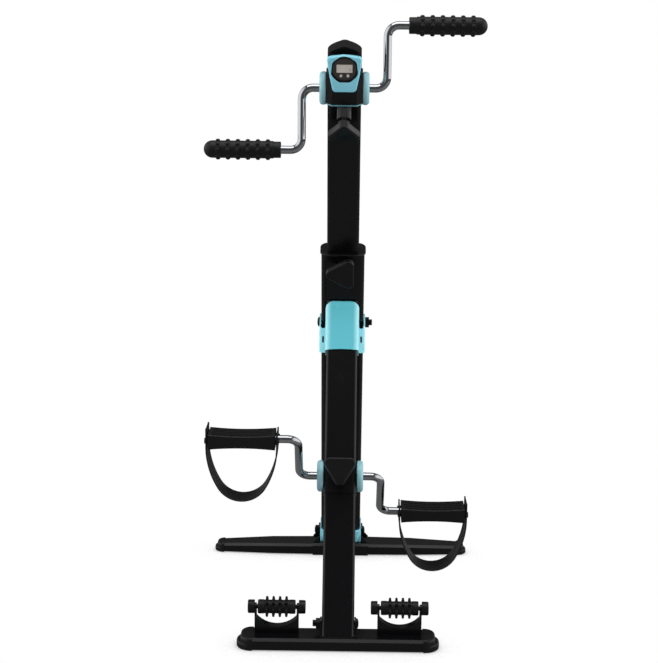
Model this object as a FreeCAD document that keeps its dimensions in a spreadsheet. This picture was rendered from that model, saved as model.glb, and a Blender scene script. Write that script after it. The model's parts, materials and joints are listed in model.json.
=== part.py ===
import FreeCAD, Part
import math
import os
from types import SimpleNamespace

import Sketcher

# Arm and leg pedal exerciser: X to the right, Y away from the user, Z up, in millimetres.
# The origin is on the floor, midway between the two feet.

Vector = FreeCAD.Vector
Placement = FreeCAD.Placement
Rotation = FreeCAD.Rotation
X_AXIS = Vector(1, 0, 0)
Y_AXIS = Vector(0, 1, 0)
Z_AXIS = Vector(0, 0, 1)

# Driving dimensions. Stations are measured along a tube from the bolt at its foot.
SIZES = {
    # stance and tubes
    "stance_depth": 483.0,
    "foot_depth": 50.0,
    "member_lean": 20.1,
    "tube_width": 70.0,
    "tube_depth": 40.0,
    "tube_corner": 9.0,
    "column_width": 51.5,
    "column_depth": 30.0,
    "column_corner": 6.0,
    "leg_width": 50.0,
    "leg_depth": 30.0,
    "leg_corner": 5.0,
    "tube_wall": 1.5,
    "gap": 0.3,
    "slide_gap": 0.1,
    "running_gap": 0.05,
    "overrun": 4.0,
    "tolerance": 0.001,
    # feet
    "rear_foot_length": 456.0,
    "foot_height": 20.0,
    "rear_foot_end_height": 16.5,
    "rear_foot_end_depth": 34.0,
    "rear_shoulder_reach": 125.0,
    "rear_shoulder_depth": 47.0,
    "rear_shoulder_height": 19.4,
    "front_foot_length": 313.0,
    "foot_edge": 4.0,
    "foot_lift": 1.8,
    "foot_wall": 2.0,
    "foot_cap_proud": 1.0,
    "foot_cap_edge": 5.0,
    "cap_flange_edge": 3.0,
    "rear_cap_length": 17.0,
    "front_cap_length": 25.0,
    "front_cap_corner": 23.0,
    "rear_cap_flange": 9.5,
    "front_cap_flange": 11.5,
    "rear_cap_step": 4.0,
    "front_cap_step": 6.0,
    "cap_spigot": 14.0,
    "bracket_plate": 2.5,
    # rear foot joint
    "rear_bolt_height": 38.0,
    "rear_bolt_setback": 4.4,
    "rear_ear_radius": 13.0,
    "rear_bracket_depth": 40.0,
    "rear_bracket_width": 100.0,
    "gusset_height": 12.0,
    "saddle_wall": 2.0,
    "saddle_low": 0.6,
    "shoe_wall": 1.8,
    "shoe_front": 26.0,
    "shoe_back": 23.0,
    "shoe_top": 22.0,
    "shoe_corner": 10.0,
    # front foot joint
    "front_bolt_height": 35.0,
    "front_bolt_setback": 5.0,
    "front_ear_radius": 10.0,
    "front_bracket_depth": 42.0,
    # fasteners
    "bolt_radius": 5.0,
    "bolt_gap": 0.2,
    "dome_radius": 8.0,
    "dome_height": 4.0,
    "dome_flat": 2.0,
    "nut_across": 15.0,
    "nut_height": 6.5,
    "bolt_tip": 5.0,
    "rear_bolt_tip": 1.0,
    # frame hinge
    "hinge_on_member": 444.1,
    "hinge_setback": 41.1,
    "hinge_ear_radius": 14.0,
    "hinge_ear_plate": 2.5,
    "hinge_bush_radius": 7.0,
    "tongue_width": 55.0,
    "tongue_top": 19.0,
    "tongue_bottom": 66.0,
    "tongue_corner": 13.0,
    "tongue_bend": 6.0,
    "tongue_lip": 5.0,
    "tongue_arch": 1.5,
    "notch_bottom": 20.0,
    "wing_slot_width": 3.0,
    "wing_slot_length": 9.0,
    "wing_slot_drop": 39.0,
    "wing_top": 17.0,
    "wing_bottom": 62.0,
    "wing_setback": 14.0,
    # telescoping sleeve
    "sleeve_top": 583.2,
    "collar_rim": 3.5,
    "collar_proud": 2.0,
    "collar_edge": 1.6,
    "collar_corner": 14.0,
    "collar_liner": 24.0,
    "guide_bottom": 456.0,
    "guide_height": 20.0,
    "clamp_station": 565.0,
    "clamp_boss_radius": 10.0,
    "clamp_boss_height": 9.0,
    # head
    "head_station": 862.5,
    "column_above_head": 50.0,
    "cap_shoulder": 61.0,
    "cap_peak": 70.7,
    "cap_peak_width": 14.0,
    "housing_width": 56.0,
    "housing_front": 30.0,
    "housing_back": 19.0,
    "housing_flat": 38.0,
    "housing_cheek": 23.0,
    "housing_below": 15.0,
    "housing_above": 25.0,
    "pod_width": 40.0,
    "pod_above": 62.0,
    "rim_height": 1.8,
    "rim_proud": 0.8,
    "rim_strip": 2.0,
    "disc_radius": 25.2,
    "disc_width": 10.0,
    "disc_edge": 4.0,
    "disc_dish": 1.5,
    "disc_dish_radius": 13.0,
    "head_boss_radius": 11.0,
    "head_boss_reach": 54.0,
    "head_knob_angle": 39.9,
    # console
    "bezel_depth": 7.0,
    "bezel_width": 52.0,
    "bezel_shoulder": 57.5,
    "bezel_top": 66.8,
    "bezel_top_width": 46.0,
    "bezel_bottom_width": 40.0,
    "bezel_bottom": 9.3,
    "bezel_bottom_corner": 6.0,
    "bezel_waist": 45.0,
    "bezel_edge": 2.0,
    "dial_height": 44.2,
    "dial_radius": 20.8,
    "dial_ring": 2.6,
    "dial_recess": 3.0,
    "button_travel": 1.0,
    "dial_ring_inset": 0.5,
    "lcd_width": 23.8,
    "lcd_height": 12.6,
    "lcd_rise": 1.3,
    "lcd_depth": 0.6,
    "button_radius": 2.1,
    "button_spacing": 10.5,
    "button_drop": 10.0,
    "button_rise": 1.4,
    "board_depth": 1.6,
    # cranks
    "rod_radius": 6.25,
    "rod_bend": 17.0,
    "rod_inner": 8.0,
    "arm_reach": 65.0,
    "crank_throw": 95.0,
    "hand_rod_reach": 208.0,
    "leg_rod_reach": 199.0,
    "drum_radius": 12.0,
    "drum_half": 20.0,
    "bush_radius": 8.2,
    "bush_flange": 9.0,
    "bush_flange_depth": 2.0,
    "pad_radius": 5.5,
    "pad_length": 8.0,
    # grips
    "grip_start": 97.0,
    "grip_end": 216.0,
    "grip_radius": 13.5,
    "grip_tip": 3.0,
    "grip_collar_radius": 12.4,
    "grip_collar_length": 12.0,
    "nub_height": 2.6,
    "nub_base_radius": 3.4,
    "nub_tip_radius": 2.0,
    "nub_pitch": 15.4,
    "nub_first": 20.0,
    # leg crank
    "hub_station": 232.0,
    "hub_wall": 1.5,
    "hub_above": 22.0,
    "hub_below": 30.0,
    "hub_boss_radius": 11.0,
    "hub_boss_reach": 31.0,
    "leg_disc_radius": 25.0,
    "leg_crank_lean": 37.0,
    # pedals
    "pedal_centre": 151.5,
    "pedal_length": 103.0,
    "pedal_depth": 50.0,
    "pedal_height": 24.0,
    "pedal_edge": 2.5,
    "pedal_sag": 2.5,
    "groove_width": 3.0,
    "groove_depth": 1.2,
    "groove_pitch": 9.0,
    "peg_offset": 15.0,
    "peg_radius": 2.5,
    "peg_shoulder_radius": 4.5,
    "peg_shoulder": 1.6,
    "peg_head": 1.6,
    "strap_thickness": 2.4,
    "strap_width": 45.0,
    "strap_top": 20.0,
    "strap_inner_top": 13.5,
    "strap_arc_start": 8.0,
    "strap_drop": 94.0,
    "strap_bottom_radius": 42.0,
    "strap_rod_hole": 7.6,
    # massage rollers
    "roller_spacing": 190.0,
    "roller_setback": 7.3,
    "roller_axis_height": 60.3,
    "roller_length": 58.0,
    "roller_radius": 11.0,
    "spike_height": 6.0,
    "spike_base_radius": 2.8,
    "spike_tip_radius": 1.6,
    "spike_pitch": 10.0,
    "wheel_radius": 10.5,
    "wheel_width": 10.3,
    "wheel_edge": 2.0,
    "axle_radius": 3.5,
    "cradle_width": 68.0,
    "cradle_depth": 15.2,
    "cradle_ear": 3.0,
    "cradle_ear_radius": 6.0,
    "cradle_valley": 10.5,
    "cradle_shoulder": 24.5,
    # knobs
    "knob_radius": 27.0,
    "knob_lobe_radius": 9.0,
    "knob_thickness": 13.0,
    "knob_edge": 3.0,
    "neck_radius": 8.5,
    "neck_length": 10.0,
    "stud_radius": 4.0,
    "stud_in_knob": 14.0,
    "stud_shown": 4.0,
}
NUB_ROWS = 6
NUBS_AROUND = 8
SPIKE_ROWS = 4
SPIKES_AROUND = 8
PEDAL_GROOVES = 5
# How far round an ear its straight sides touch it, as shares of its radius.
EAR_TOUCH_SHARES = (0.8, 0.6)
# A knob's long edges are wider than its neck's radius by this share.
WIDE_EDGE_SHARE = 2.5

doc = FreeCAD.newDocument("pedal_exerciser")
sheet = doc.addObject("Spreadsheet::Sheet", "Sizes")
pieces = {}


class Length:
    """A number together with the spreadsheet formula that it is worked out by."""

    def __init__(self, number, formula):
        self.number = number
        self.formula = formula

    def __add__(self, other):
        return Length(self.number + other.number, f"({self.formula} + {other.formula})")

    def __sub__(self, other):
        return Length(self.number - other.number, f"({self.formula} - {other.formula})")

    def __mul__(self, factor):
        return Length(self.number * factor, f"({self.formula} * {factor!r})")

    def __truediv__(self, divisor):
        return Length(self.number / divisor, f"({self.formula} / {divisor!r})")

    def __neg__(self):
        return Length(-self.number, f"(0 - {self.formula})")


ZERO = Length(0.0, "0")


def cell(name, number):
    """Put one number in the next cell of the sheet and return it as a Length."""
    row = cell.row = getattr(cell, "row", 0) + 1
    sheet.set(f"A{row}", name)
    sheet.set(f"B{row}", repr(number))
    sheet.setAlias(f"B{row}", name)
    return Length(number, f"Sizes.{name}")


size = SimpleNamespace(**{name: cell(name, number) for name, number in SIZES.items()})


def sine(angle):
    return math.sin(math.radians(angle.number))


def cosine(angle):
    return math.cos(math.radians(angle.number))


def solve_frame():
    """Places worked out from the stance, the leaning member and the hinge on it."""
    half_stance = (size.stance_depth - size.foot_depth).number / 2
    lean = size.member_lean
    balance = shoe_overhang() / 2
    size.rear_y = cell("rear_foot_place", half_stance - balance)
    size.front_y = cell("front_foot_place", -half_stance - balance)
    rear_y = (size.rear_y + size.rear_bolt_setback).number
    rear_z = size.rear_bolt_height.number
    hinge_y = rear_y - size.hinge_on_member.number * sine(lean)
    hinge_z = rear_z + size.hinge_on_member.number * cosine(lean)
    front_bolt_y = (size.front_y + size.front_bolt_setback).number
    across = hinge_y - front_bolt_y
    rise = hinge_z - size.front_bolt_height.number
    setback = size.hinge_setback.number
    along = math.sqrt(across**2 + rise**2 - setback**2)
    leg_lean = math.degrees(math.atan2(across, rise) - math.atan2(setback, along))
    size.hinge_on_leg = cell("hinge_on_leg", along)
    size.leg_lean = cell("leg_lean", leg_lean)
    size.frame_angle = size.member_lean + size.leg_lean
    return SimpleNamespace(
        member=Placement(Vector(0, rear_y, rear_z), Rotation(X_AXIS, lean.number)),
        leg=Placement(
            Vector(0, front_bolt_y, size.front_bolt_height.number),
            Rotation(X_AXIS, -leg_lean),
        ),
    )


def shoe_drop():
    """How far below the rear bolt the shoe stands."""
    return size.rear_bolt_height - size.foot_height - size.bracket_plate - size.gap


def shoe_overhang():
    """How much farther the shoe reaches back than a foot cap does, measured from the foot."""
    back, lean = size.shoe_back, size.member_lean
    low = level_station(back, lean, shoe_drop())
    reach = back.number * cosine(lean) - low.number * sine(lean)
    cap = size.foot_depth / 2 + size.foot_cap_proud
    return size.rear_bolt_setback.number + reach - cap.number


def shift(x=ZERO, y=ZERO, z=ZERO):
    return Placement(Vector(x.number, y.number, z.number), Rotation())


def turn(axis, angle):
    return Placement(Vector(), Rotation(axis, angle))


def bind(item, name, length):
    """Set one property of an object from the sheet."""
    item.setExpression(name, length.formula)


def origin_feature(body, role):
    return next(item for item in body.Origin.OriginFeatures if item.Role == role)


def new_body(label):
    body = doc.addObject("PartDesign::Body", label)
    body.Label = label
    return body


def new_sketch(body, plane, offset=ZERO):
    """A sketch on one of the body's own origin planes, or parallel to it."""
    sketch = body.newObject("Sketcher::SketchObject", f"{body.Label}_sketch")
    sketch.AttachmentSupport = [(origin_feature(body, plane), "")]
    sketch.MapMode = "FlatFace"
    if offset is not ZERO:
        sketch.AttachmentOffset = shift(z=offset)
        bind(sketch, "AttachmentOffset.Base.z", offset)
    return sketch


def fix(sketch, shape, end, x, y):
    """Hold one point of a sketch at x, y from the sheet."""
    for kind, axis_line, length in (("DistanceX", -2, x), ("DistanceY", -1, y)):
        if length is ZERO:
            sketch.addConstraint(Sketcher.Constraint("PointOnObject", shape, end, axis_line))
        else:
            held = Sketcher.Constraint(kind, -1, 1, shape, end, length.number)
            index = sketch.addConstraint(held)
            bind(sketch, f"Constraints[{index}]", length)


def fix_radius(sketch, shape, radius):
    index = sketch.addConstraint(Sketcher.Constraint("Radius", shape, radius.number))
    bind(sketch, f"Constraints[{index}]", radius)


def arc_between(start, end, radius, side):
    """The short arc from start to end with its centre on the left or right of the way."""
    chord = end - start
    middle = (start + end) / 2
    height = math.sqrt(max(radius**2 - (chord.Length / 2) ** 2, 0))
    left = Vector(-chord.y, chord.x, 0).normalize()
    centre = middle + left * (height if side == "left" else -height)
    if side == "right":
        start, end = end, start
    first = math.atan2(start.y - centre.y, start.x - centre.x)
    last = math.atan2(end.y - centre.y, end.x - centre.x)
    return Part.ArcOfCircle(Part.Circle(centre, Z_AXIS, radius), first, last)


def crown_radius(half, rise):
    """The radius of an arc that is half wide on each side and rises in its middle."""
    ratio = (half.number**2 + rise.number**2) / (2 * rise.number * half.number)
    return half * ratio


def outline(sketch, corners):
    """A closed outline. A corner is (x, y), or (x, y, radius, side) if an arc leads on from it."""
    count = len(corners)
    points = [Vector(corner[0].number, corner[1].number, 0) for corner in corners]
    shapes = []
    for i, corner in enumerate(corners):
        start, end = points[i], points[(i + 1) % count]
        if len(corner) == 2:
            shape = sketch.addGeometry(Part.LineSegment(start, end))
        else:
            arc = arc_between(start, end, corner[2].number, corner[3])
            shape = sketch.addGeometry(arc)
        backwards = len(corner) == 4 and corner[3] == "right"
        shapes.append((shape, (2, 1) if backwards else (1, 2)))
    for i, corner in enumerate(corners):
        shape, (start, end) = shapes[i]
        following, (next_start, _) = shapes[(i + 1) % count]
        sketch.addConstraint(
            Sketcher.Constraint("Coincident", shape, end, following, next_start)
        )
        fix(sketch, shape, start, corner[0], corner[1])
        if len(corner) == 4:
            fix_radius(sketch, shape, corner[2])


def circle(sketch, radius, x=ZERO, y=ZERO):
    centre = Vector(x.number, y.number, 0)
    shape = sketch.addGeometry(Part.Circle(centre, Z_AXIS, radius.number))
    fix(sketch, shape, 3, x, y)
    fix_radius(sketch, shape, radius)


def rectangle(sketch, left, right, low, high):
    outline(sketch, [(left, low), (right, low), (right, high), (left, high)])


def rounded_rectangle(sketch, width, depth, radius):
    """A rectangle about the sketch's origin with rounded corners."""
    x, y = width / 2, depth / 2
    outline(
        sketch,
        [
            (radius - x, -y),
            (x - radius, -y, radius, "left"),
            (x, radius - y),
            (x, y - radius, radius, "left"),
            (x - radius, y),
            (radius - x, y, radius, "left"),
            (-x, y - radius),
            (-x, radius - y, radius, "left"),
        ],
    )


def hexagon(sketch, across, x=ZERO, y=ZERO):
    half = across / 2
    point = across * (1 / math.sqrt(3))
    outline(
        sketch,
        [
            (x + point, y),
            (x + point / 2, y + half),
            (x - point / 2, y + half),
            (x - point, y),
            (x - point / 2, y - half),
            (x + point / 2, y - half),
        ],
    )


def pad(sketch, length, both_ways=False, backwards=False):
    body = sketch.getParentGeoFeatureGroup()
    feature = body.newObject("PartDesign::Pad", f"{body.Label}_pad")
    feature.Profile = sketch
    feature.SideType = "Symmetric" if both_ways else "One side"
    feature.Reversed = backwards
    bind(feature, "Length", length)
    return feature


def pocket(sketch, length=None, both_ways=False, backwards=False):
    """Cut a sketch out of its body, through all of it where no length is given."""
    body = sketch.getParentGeoFeatureGroup()
    doc.recompute()
    before = body.Shape.Volume
    feature = body.newObject("PartDesign::Pocket", f"{body.Label}_pocket")
    feature.Profile = sketch
    feature.SideType = "Symmetric" if both_ways else "One side"
    feature.Reversed = backwards
    if length is None:
        feature.Type = "ThroughAll"
    else:
        bind(feature, "Length", length)
    doc.recompute()
    if not body.Shape.Volume < before:
        raise RuntimeError(f"a pocket of {body.Label} cuts nothing")
    return feature


def revolve(sketch, axis):
    body = sketch.getParentGeoFeatureGroup()
    feature = body.newObject("PartDesign::Revolution", f"{body.Label}_turned")
    feature.Profile = sketch
    feature.ReferenceAxis = (origin_feature(body, axis), [""])
    feature.Angle = 360
    return feature


def round_edges(body, radius, wanted):
    """Fillet the edges of the body so far for which wanted(edge) is true."""
    doc.recompute()
    base = body.Tip
    names = [f"Edge{i}" for i, edge in enumerate(base.Shape.Edges, 1) if wanted(edge)]
    if not names:
        raise RuntimeError(f"no edge to round on {body.Label}")
    feature = body.newObject("PartDesign::Fillet", f"{body.Label}_fillet")
    feature.Base = (base, names)
    bind(feature, "Radius", radius)
    doc.recompute()
    return feature


def near(first, second):
    return abs(first - second) < size.tolerance.number


def straight_along(edge, axis):
    """Whether an edge is a straight one, parallel to an axis."""
    if edge.Curve.TypeId != "Part::GeomLine":
        return False
    return abs(edge.Curve.Direction.dot(axis)) > math.cos(math.radians(1))


def finish(body, placement):
    """Put a finished piece in its place under its own name."""
    body.Placement = placement
    pieces[body.Label] = body


def group(label, members, placements):
    """One node of separate solids, such as a pair of like pieces."""
    for member, placement in zip(members, placements):
        member.Placement = placement
    compound = doc.addObject("Part::Compound", label)
    compound.Label = label
    compound.Links = members
    pieces[label] = compound


def tube(body, width, depth, corner, low, high):
    """A rounded rectangular tube along Z from low to high."""
    outer = new_sketch(body, "XY_Plane", low)
    rounded_rectangle(outer, width, depth, corner)
    pad(outer, high - low)
    inner = new_sketch(body, "XY_Plane", low)
    wall = size.tube_wall
    rounded_rectangle(inner, width - wall * 2, depth - wall * 2, corner - wall)
    pocket(inner, high - low, backwards=True)


def cross_hole(body, radius, y, z, through=None):
    """A round hole along X at y, z."""
    hole = new_sketch(body, "YZ_Plane")
    circle(hole, radius, y, z)
    pocket(hole, through, both_ways=True)


def cut_below_level(body, lean, drop, reach):
    """Cut away what lies lower than a level plane, drop below the tube's foot bolt."""
    flat = new_sketch(body, "YZ_Plane")
    front, back = -reach, reach
    low = -drop * (1 / cosine(lean)) - reach * 2
    outline(
        flat,
        [
            (front, low),
            (back, low),
            (back, level_station(back, lean, drop)),
            (front, level_station(front, lean, drop)),
        ],
    )
    pocket(flat, both_ways=True)


def level_station(y, lean, drop):
    """The station, at y across a tube with this lean, that lies drop below its foot bolt."""
    return -drop * (1 / cosine(lean)) - y * (sine(lean) / cosine(lean))


# Feet


def foot_section(body, x, depth, height, inset):
    """One cross-section of a foot: flat below, with chamfered upper edges."""
    half = depth / 2 - inset
    low = size.foot_lift + inset
    high = height - inset
    edge = size.foot_edge
    section = new_sketch(body, "YZ_Plane", x)
    outline(
        section,
        [
            (-half, low),
            (half, low),
            (half, high - edge),
            (half - edge, high),
            (edge - half, high),
            (-half, high - edge),
        ],
    )
    return section


def foot_loft(body, kind, stations, inset):
    sections = [foot_section(body, x, depth, height, inset) for x, depth, height in stations]
    loft = body.newObject(f"PartDesign::{kind}Loft", f"{body.Label}_loft")
    loft.Profile = sections[0]
    loft.Sections = [(section, [""]) for section in sections[1:]]
    loft.Ruled = True
    doc.recompute()


def rear_foot():
    """A pressed foot that gets lower and narrower towards both ends."""
    body = new_body("rear_foot")
    reach = size.rear_foot_length / 2 - size.rear_cap_length
    end = (size.rear_foot_end_depth, size.rear_foot_end_height)
    shoulder = (size.rear_shoulder_depth, size.rear_shoulder_height)
    middle = (size.foot_depth, size.foot_height)
    stations = [
        (-reach, *end),
        (-size.rear_shoulder_reach, *shoulder),
        (-size.rear_bracket_width / 2, *middle),
        (size.rear_bracket_width / 2, *middle),
        (size.rear_shoulder_reach, *shoulder),
        (reach, *end),
    ]
    foot_loft(body, "Additive", stations, ZERO)
    foot_loft(body, "Subtractive", stations, size.foot_wall)
    finish(body, shift(y=size.rear_y))


def front_foot():
    """A straight beam of the same section all along."""
    body = new_body("front_foot")
    reach = size.front_foot_length / 2 - size.front_cap_length
    stations = [
        (-reach, size.foot_depth, size.foot_height),
        (reach, size.foot_depth, size.foot_height),
    ]
    foot_loft(body, "Additive", stations, ZERO)
    foot_loft(body, "Subtractive", stations, size.foot_wall)
    finish(body, shift(y=size.front_y))


def cap_plan(sketch, length, half, corner):
    """A cap seen from above: square where it meets the foot, with rounded outer corners."""
    outline(
        sketch,
        [
            (ZERO, -half),
            (length - corner, -half, corner, "left"),
            (length, corner - half),
            (length, half - corner, corner, "left"),
            (length - corner, half),
            (ZERO, half),
        ],
    )


def foot_cap(label, length, depth, height, shape):
    """A moulded end cap: a wide flange on the floor, a narrower crown, a spigot in the foot."""
    corner, flange, step = shape
    body = new_body(label)
    half = depth / 2 + size.foot_cap_proud
    plan = new_sketch(body, "XY_Plane")
    cap_plan(plan, length, half, corner)
    pad(plan, flange)
    outer = lambda edge: (
        near(edge.BoundBox.ZMin, edge.BoundBox.ZMax) and edge.BoundBox.XMax > size.tolerance.number
    )
    round_edges(body, size.cap_flange_edge, outer)
    crown = new_sketch(body, "XY_Plane", flange / 2)
    cap_plan(crown, length - step, half, corner - step)
    top = height + size.foot_cap_proud
    pad(crown, top - flange / 2)
    rim = lambda edge: near(edge.BoundBox.ZMin, top.number) and outer(edge)
    round_edges(body, size.foot_cap_edge, rim)
    spigot = new_sketch(body, "YZ_Plane")
    inset = size.foot_wall + size.foot_edge
    rectangle(
        spigot,
        inset - depth / 2,
        depth / 2 - inset,
        size.foot_lift + size.foot_wall + size.slide_gap,
        height - size.foot_wall * 2,
    )
    pad(spigot, size.cap_spigot, backwards=True)
    return body


def foot_caps(label, foot_length, cap_length, depth, height, shape, y):
    caps = [
        foot_cap(f"{side}_{label}", cap_length, depth, height, shape)
        for side in ("left", "right")
    ]
    reach = foot_length / 2 - cap_length
    right = shift(x=reach, y=y)
    left = shift(x=-reach, y=y) * turn(Z_AXIS, 180)
    group(label, caps, [left, right])


def ear_outline(sketch, half_base, low, axis_y, axis_z, radius):
    """An upright ear that narrows from its base to a round end about an axis."""
    outline(
        sketch,
        [
            (axis_y + half_base, low),
            (axis_y + radius, axis_z, radius, "left"),
            (axis_y, axis_z + radius, radius, "left"),
            (axis_y - radius, axis_z),
            (axis_y - half_base, low),
        ],
    )


def foot_bracket(label, half_width, half_depth, ear_in, bolt, radius):
    """A U of plate on a foot: a base and two ears round the bolt that holds a tube."""
    body = new_body(label)
    plate = size.bracket_plate
    low = size.foot_height
    ear_out = ear_in + plate
    setback, height = bolt
    base = new_sketch(body, "XY_Plane", low)
    rectangle(base, -half_width, half_width, -half_depth, half_depth)
    pad(base, plate)
    ears = new_sketch(body, "YZ_Plane")
    ear_outline(ears, half_depth - setback, low, setback, height, radius)
    pad(ears, ear_out * 2, both_ways=True)
    between = new_sketch(body, "XZ_Plane")
    rectangle(between, -ear_in, ear_in, low + plate, height * 2)
    pocket(between, both_ways=True)
    return body


def gussets(body, half_width, half_depth, ear_in):
    """Webs outside the ears that stiffen them against the base."""
    plate = size.bracket_plate
    low = size.foot_height
    foot = ear_in + plate / 2
    for offset, backwards in ((half_depth, True), (-half_depth, False)):
        for side in (1, -1):
            web = new_sketch(body, "XZ_Plane", offset)
            outline(
                web,
                [
                    (foot * side, low + plate / 2),
                    (half_width * side, low + plate / 2),
                    (half_width * side, low + plate),
                    (foot * side, low + plate + size.gusset_height),
                ],
            )
            pad(web, plate, backwards=backwards)


def saddle(body, length):
    """The bracket's base bent down over the foot's chamfers and both its faces."""
    half, top = size.foot_depth / 2 + size.slide_gap, size.foot_height
    edge, wall = size.foot_edge, size.saddle_wall
    section = new_sketch(body, "YZ_Plane")
    outline(
        section,
        [
            (half, size.saddle_low),
            (half + wall, size.saddle_low),
            (half + wall, top + wall - edge),
            (half + wall - edge, top + wall),
            (edge - half - wall, top + wall),
            (-half - wall, top + wall - edge),
            (-half - wall, size.saddle_low),
            (-half, size.saddle_low),
            (-half, top - edge),
            (edge - half, top),
            (half - edge, top),
            (half, top - edge),
        ],
    )
    pad(section, length, both_ways=True)


def bolt_hole(body, y, z):
    cross_hole(body, size.bolt_radius + size.bolt_gap, y, z)


def rear_foot_bracket():
    """The rear foot's bracket: a saddle over the foot, two ears and gussets outside them."""
    half_width, half_depth = size.rear_bracket_width / 2, size.rear_bracket_depth / 2
    ear_in = size.tube_width / 2 + size.shoe_wall + size.gap
    bolt = (size.rear_bolt_setback, size.rear_bolt_height)
    radius = size.rear_ear_radius
    body = foot_bracket("rear_foot_bracket", half_width, half_depth, ear_in, bolt, radius)
    gussets(body, half_width, half_depth, ear_in)
    saddle(body, half_width * 2)
    bolt_hole(body, *bolt)
    finish(body, shift(y=size.rear_y))


def front_foot_bracket():
    """The front foot's bracket, no wider than its ears."""
    half_depth = size.front_bracket_depth / 2
    ear_in = size.leg_width / 2 + size.gap
    bolt = (size.front_bolt_setback, size.front_bolt_height)
    radius = size.front_ear_radius
    half_width = ear_in + size.bracket_plate
    body = foot_bracket("front_foot_bracket", half_width, half_depth, ear_in, bolt, radius)
    bolt_hole(body, *bolt)
    finish(body, shift(y=size.front_y))


# Fasteners


def cross_bolt(label, half_span, tip, placement, head_side):
    """A dome-head bolt along X through ears that reach to half_span, with a hexagon nut."""
    bolt = new_body(f"{label}_shank")
    radius = size.bolt_radius
    end = half_span + size.nut_height + tip
    crown = size.dome_height / 2
    dome = crown_radius(size.dome_radius - size.dome_flat, crown)
    head = -half_span - size.dome_height
    profile = new_sketch(bolt, "XZ_Plane")
    outline(
        profile,
        [
            (head, ZERO),
            (end, ZERO),
            (end, radius),
            (-half_span, radius),
            (-half_span, size.dome_radius),
            (head + crown, size.dome_radius, dome, "left"),
            (head, size.dome_flat),
        ],
    )
    revolve(profile, "X_Axis")
    nut = new_body(f"{label}_nut")
    shape = new_sketch(nut, "YZ_Plane", half_span)
    hexagon(shape, size.nut_across)
    pad(shape, size.nut_height)
    bore = new_sketch(nut, "YZ_Plane", half_span)
    circle(bore, radius + size.running_gap)
    pocket(bore, size.nut_height, backwards=True)
    way = turn(Z_AXIS, 0 if head_side == "left" else 180)
    group(label, [bolt, nut], [placement * way, placement * way])


# Leaning member: rear leg tube, sleeve and column


def main_tube():
    """The wide tube: rear leg below, sleeve for the column above."""
    body = new_body("main_tube")
    low = -size.rear_bolt_height
    top = size.sleeve_top - size.collar_rim
    tube(body, size.tube_width, size.tube_depth, size.tube_corner, low, top)
    rest = size.foot_height + size.bracket_plate + size.gap * 2
    cut_below_level(body, size.member_lean, size.rear_bolt_height - rest, size.tube_depth)
    hole = size.bolt_radius + size.bolt_gap
    cross_hole(body, hole, ZERO, ZERO)
    cross_hole(body, hole, ZERO, size.hinge_on_member)
    boss = new_sketch(body, "XZ_Plane", size.tube_depth / 2)
    circle(boss, size.clamp_boss_radius, ZERO, size.clamp_station)
    pad(boss, size.clamp_boss_height)
    bore = new_sketch(body, "XZ_Plane", size.tube_depth / 2 + size.clamp_boss_height)
    circle(bore, size.stud_radius + size.running_gap, ZERO, size.clamp_station)
    pocket(bore, size.clamp_boss_height + size.tube_wall * 2)
    finish(body, places.member)


def sleeve_collar():
    """The moulded collar in the sleeve's mouth: a bulged rim and a liner that guides the column."""
    body = new_body("sleeve_collar")
    rim_low = size.sleeve_top - size.collar_rim
    proud = size.collar_proud
    rim = new_sketch(body, "XY_Plane", rim_low)
    width = size.tube_width + proud * 2
    depth = size.tube_depth + proud * 2
    rounded_rectangle(rim, width, depth, size.collar_corner)
    pad(rim, size.collar_rim)
    flat = lambda edge: near(edge.BoundBox.ZMin, edge.BoundBox.ZMax)
    round_edges(body, size.collar_edge, flat)
    liner = new_sketch(body, "XY_Plane", rim_low)
    fit = (size.tube_wall + size.slide_gap) * 2
    corner = size.tube_corner - size.tube_wall
    rounded_rectangle(liner, size.tube_width - fit, size.tube_depth - fit, corner)
    pad(liner, size.collar_liner, backwards=True)
    opening = new_sketch(body, "XY_Plane", size.sleeve_top)
    slide = size.slide_gap * 2
    corner = size.column_corner
    rounded_rectangle(opening, size.column_width + slide, size.column_depth + slide, corner)
    pocket(opening)
    hole = new_sketch(body, "XZ_Plane", size.tube_depth)
    circle(hole, size.stud_radius + size.gap, ZERO, size.clamp_station)
    pocket(hole, size.tube_depth)
    finish(body, places.member)


def rear_shoe():
    """The coloured boot round the foot of the member, cut level where it stands."""
    body = new_body("rear_shoe")
    front, back = -size.shoe_front, size.shoe_back
    drop = shoe_drop()
    side = new_sketch(body, "YZ_Plane")
    top = size.rear_bolt_height - size.shoe_top
    outline(
        side,
        [
            (front, level_station(front, size.member_lean, drop)),
            (back, level_station(back, size.member_lean, drop)),
            (back, top),
            (front, top),
        ],
    )
    width = size.tube_width + size.shoe_wall * 2
    pad(side, width, both_ways=True)
    round_edges(body, size.shoe_corner, lambda edge: straight_along(edge, Z_AXIS))
    inside = new_sketch(body, "XY_Plane", top)
    fit = size.gap
    rounded_rectangle(inside, size.tube_width + fit, size.tube_depth + fit, size.tube_corner)
    pocket(inside)
    cross_hole(body, size.bolt_radius + size.bolt_gap, ZERO, ZERO)
    finish(body, places.member)


def hinge_bush():
    """The spacer inside the wide tube that the hinge bolt turns in."""
    body = new_body("hinge_bush")
    half = size.tube_width / 2 - size.tube_wall - size.slide_gap
    ring = new_sketch(body, "YZ_Plane", -half)
    circle(ring, size.hinge_bush_radius)
    circle(ring, size.bolt_radius + size.running_gap)
    pad(ring, half * 2)
    finish(body, places.member * shift(z=size.hinge_on_member))


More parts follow.
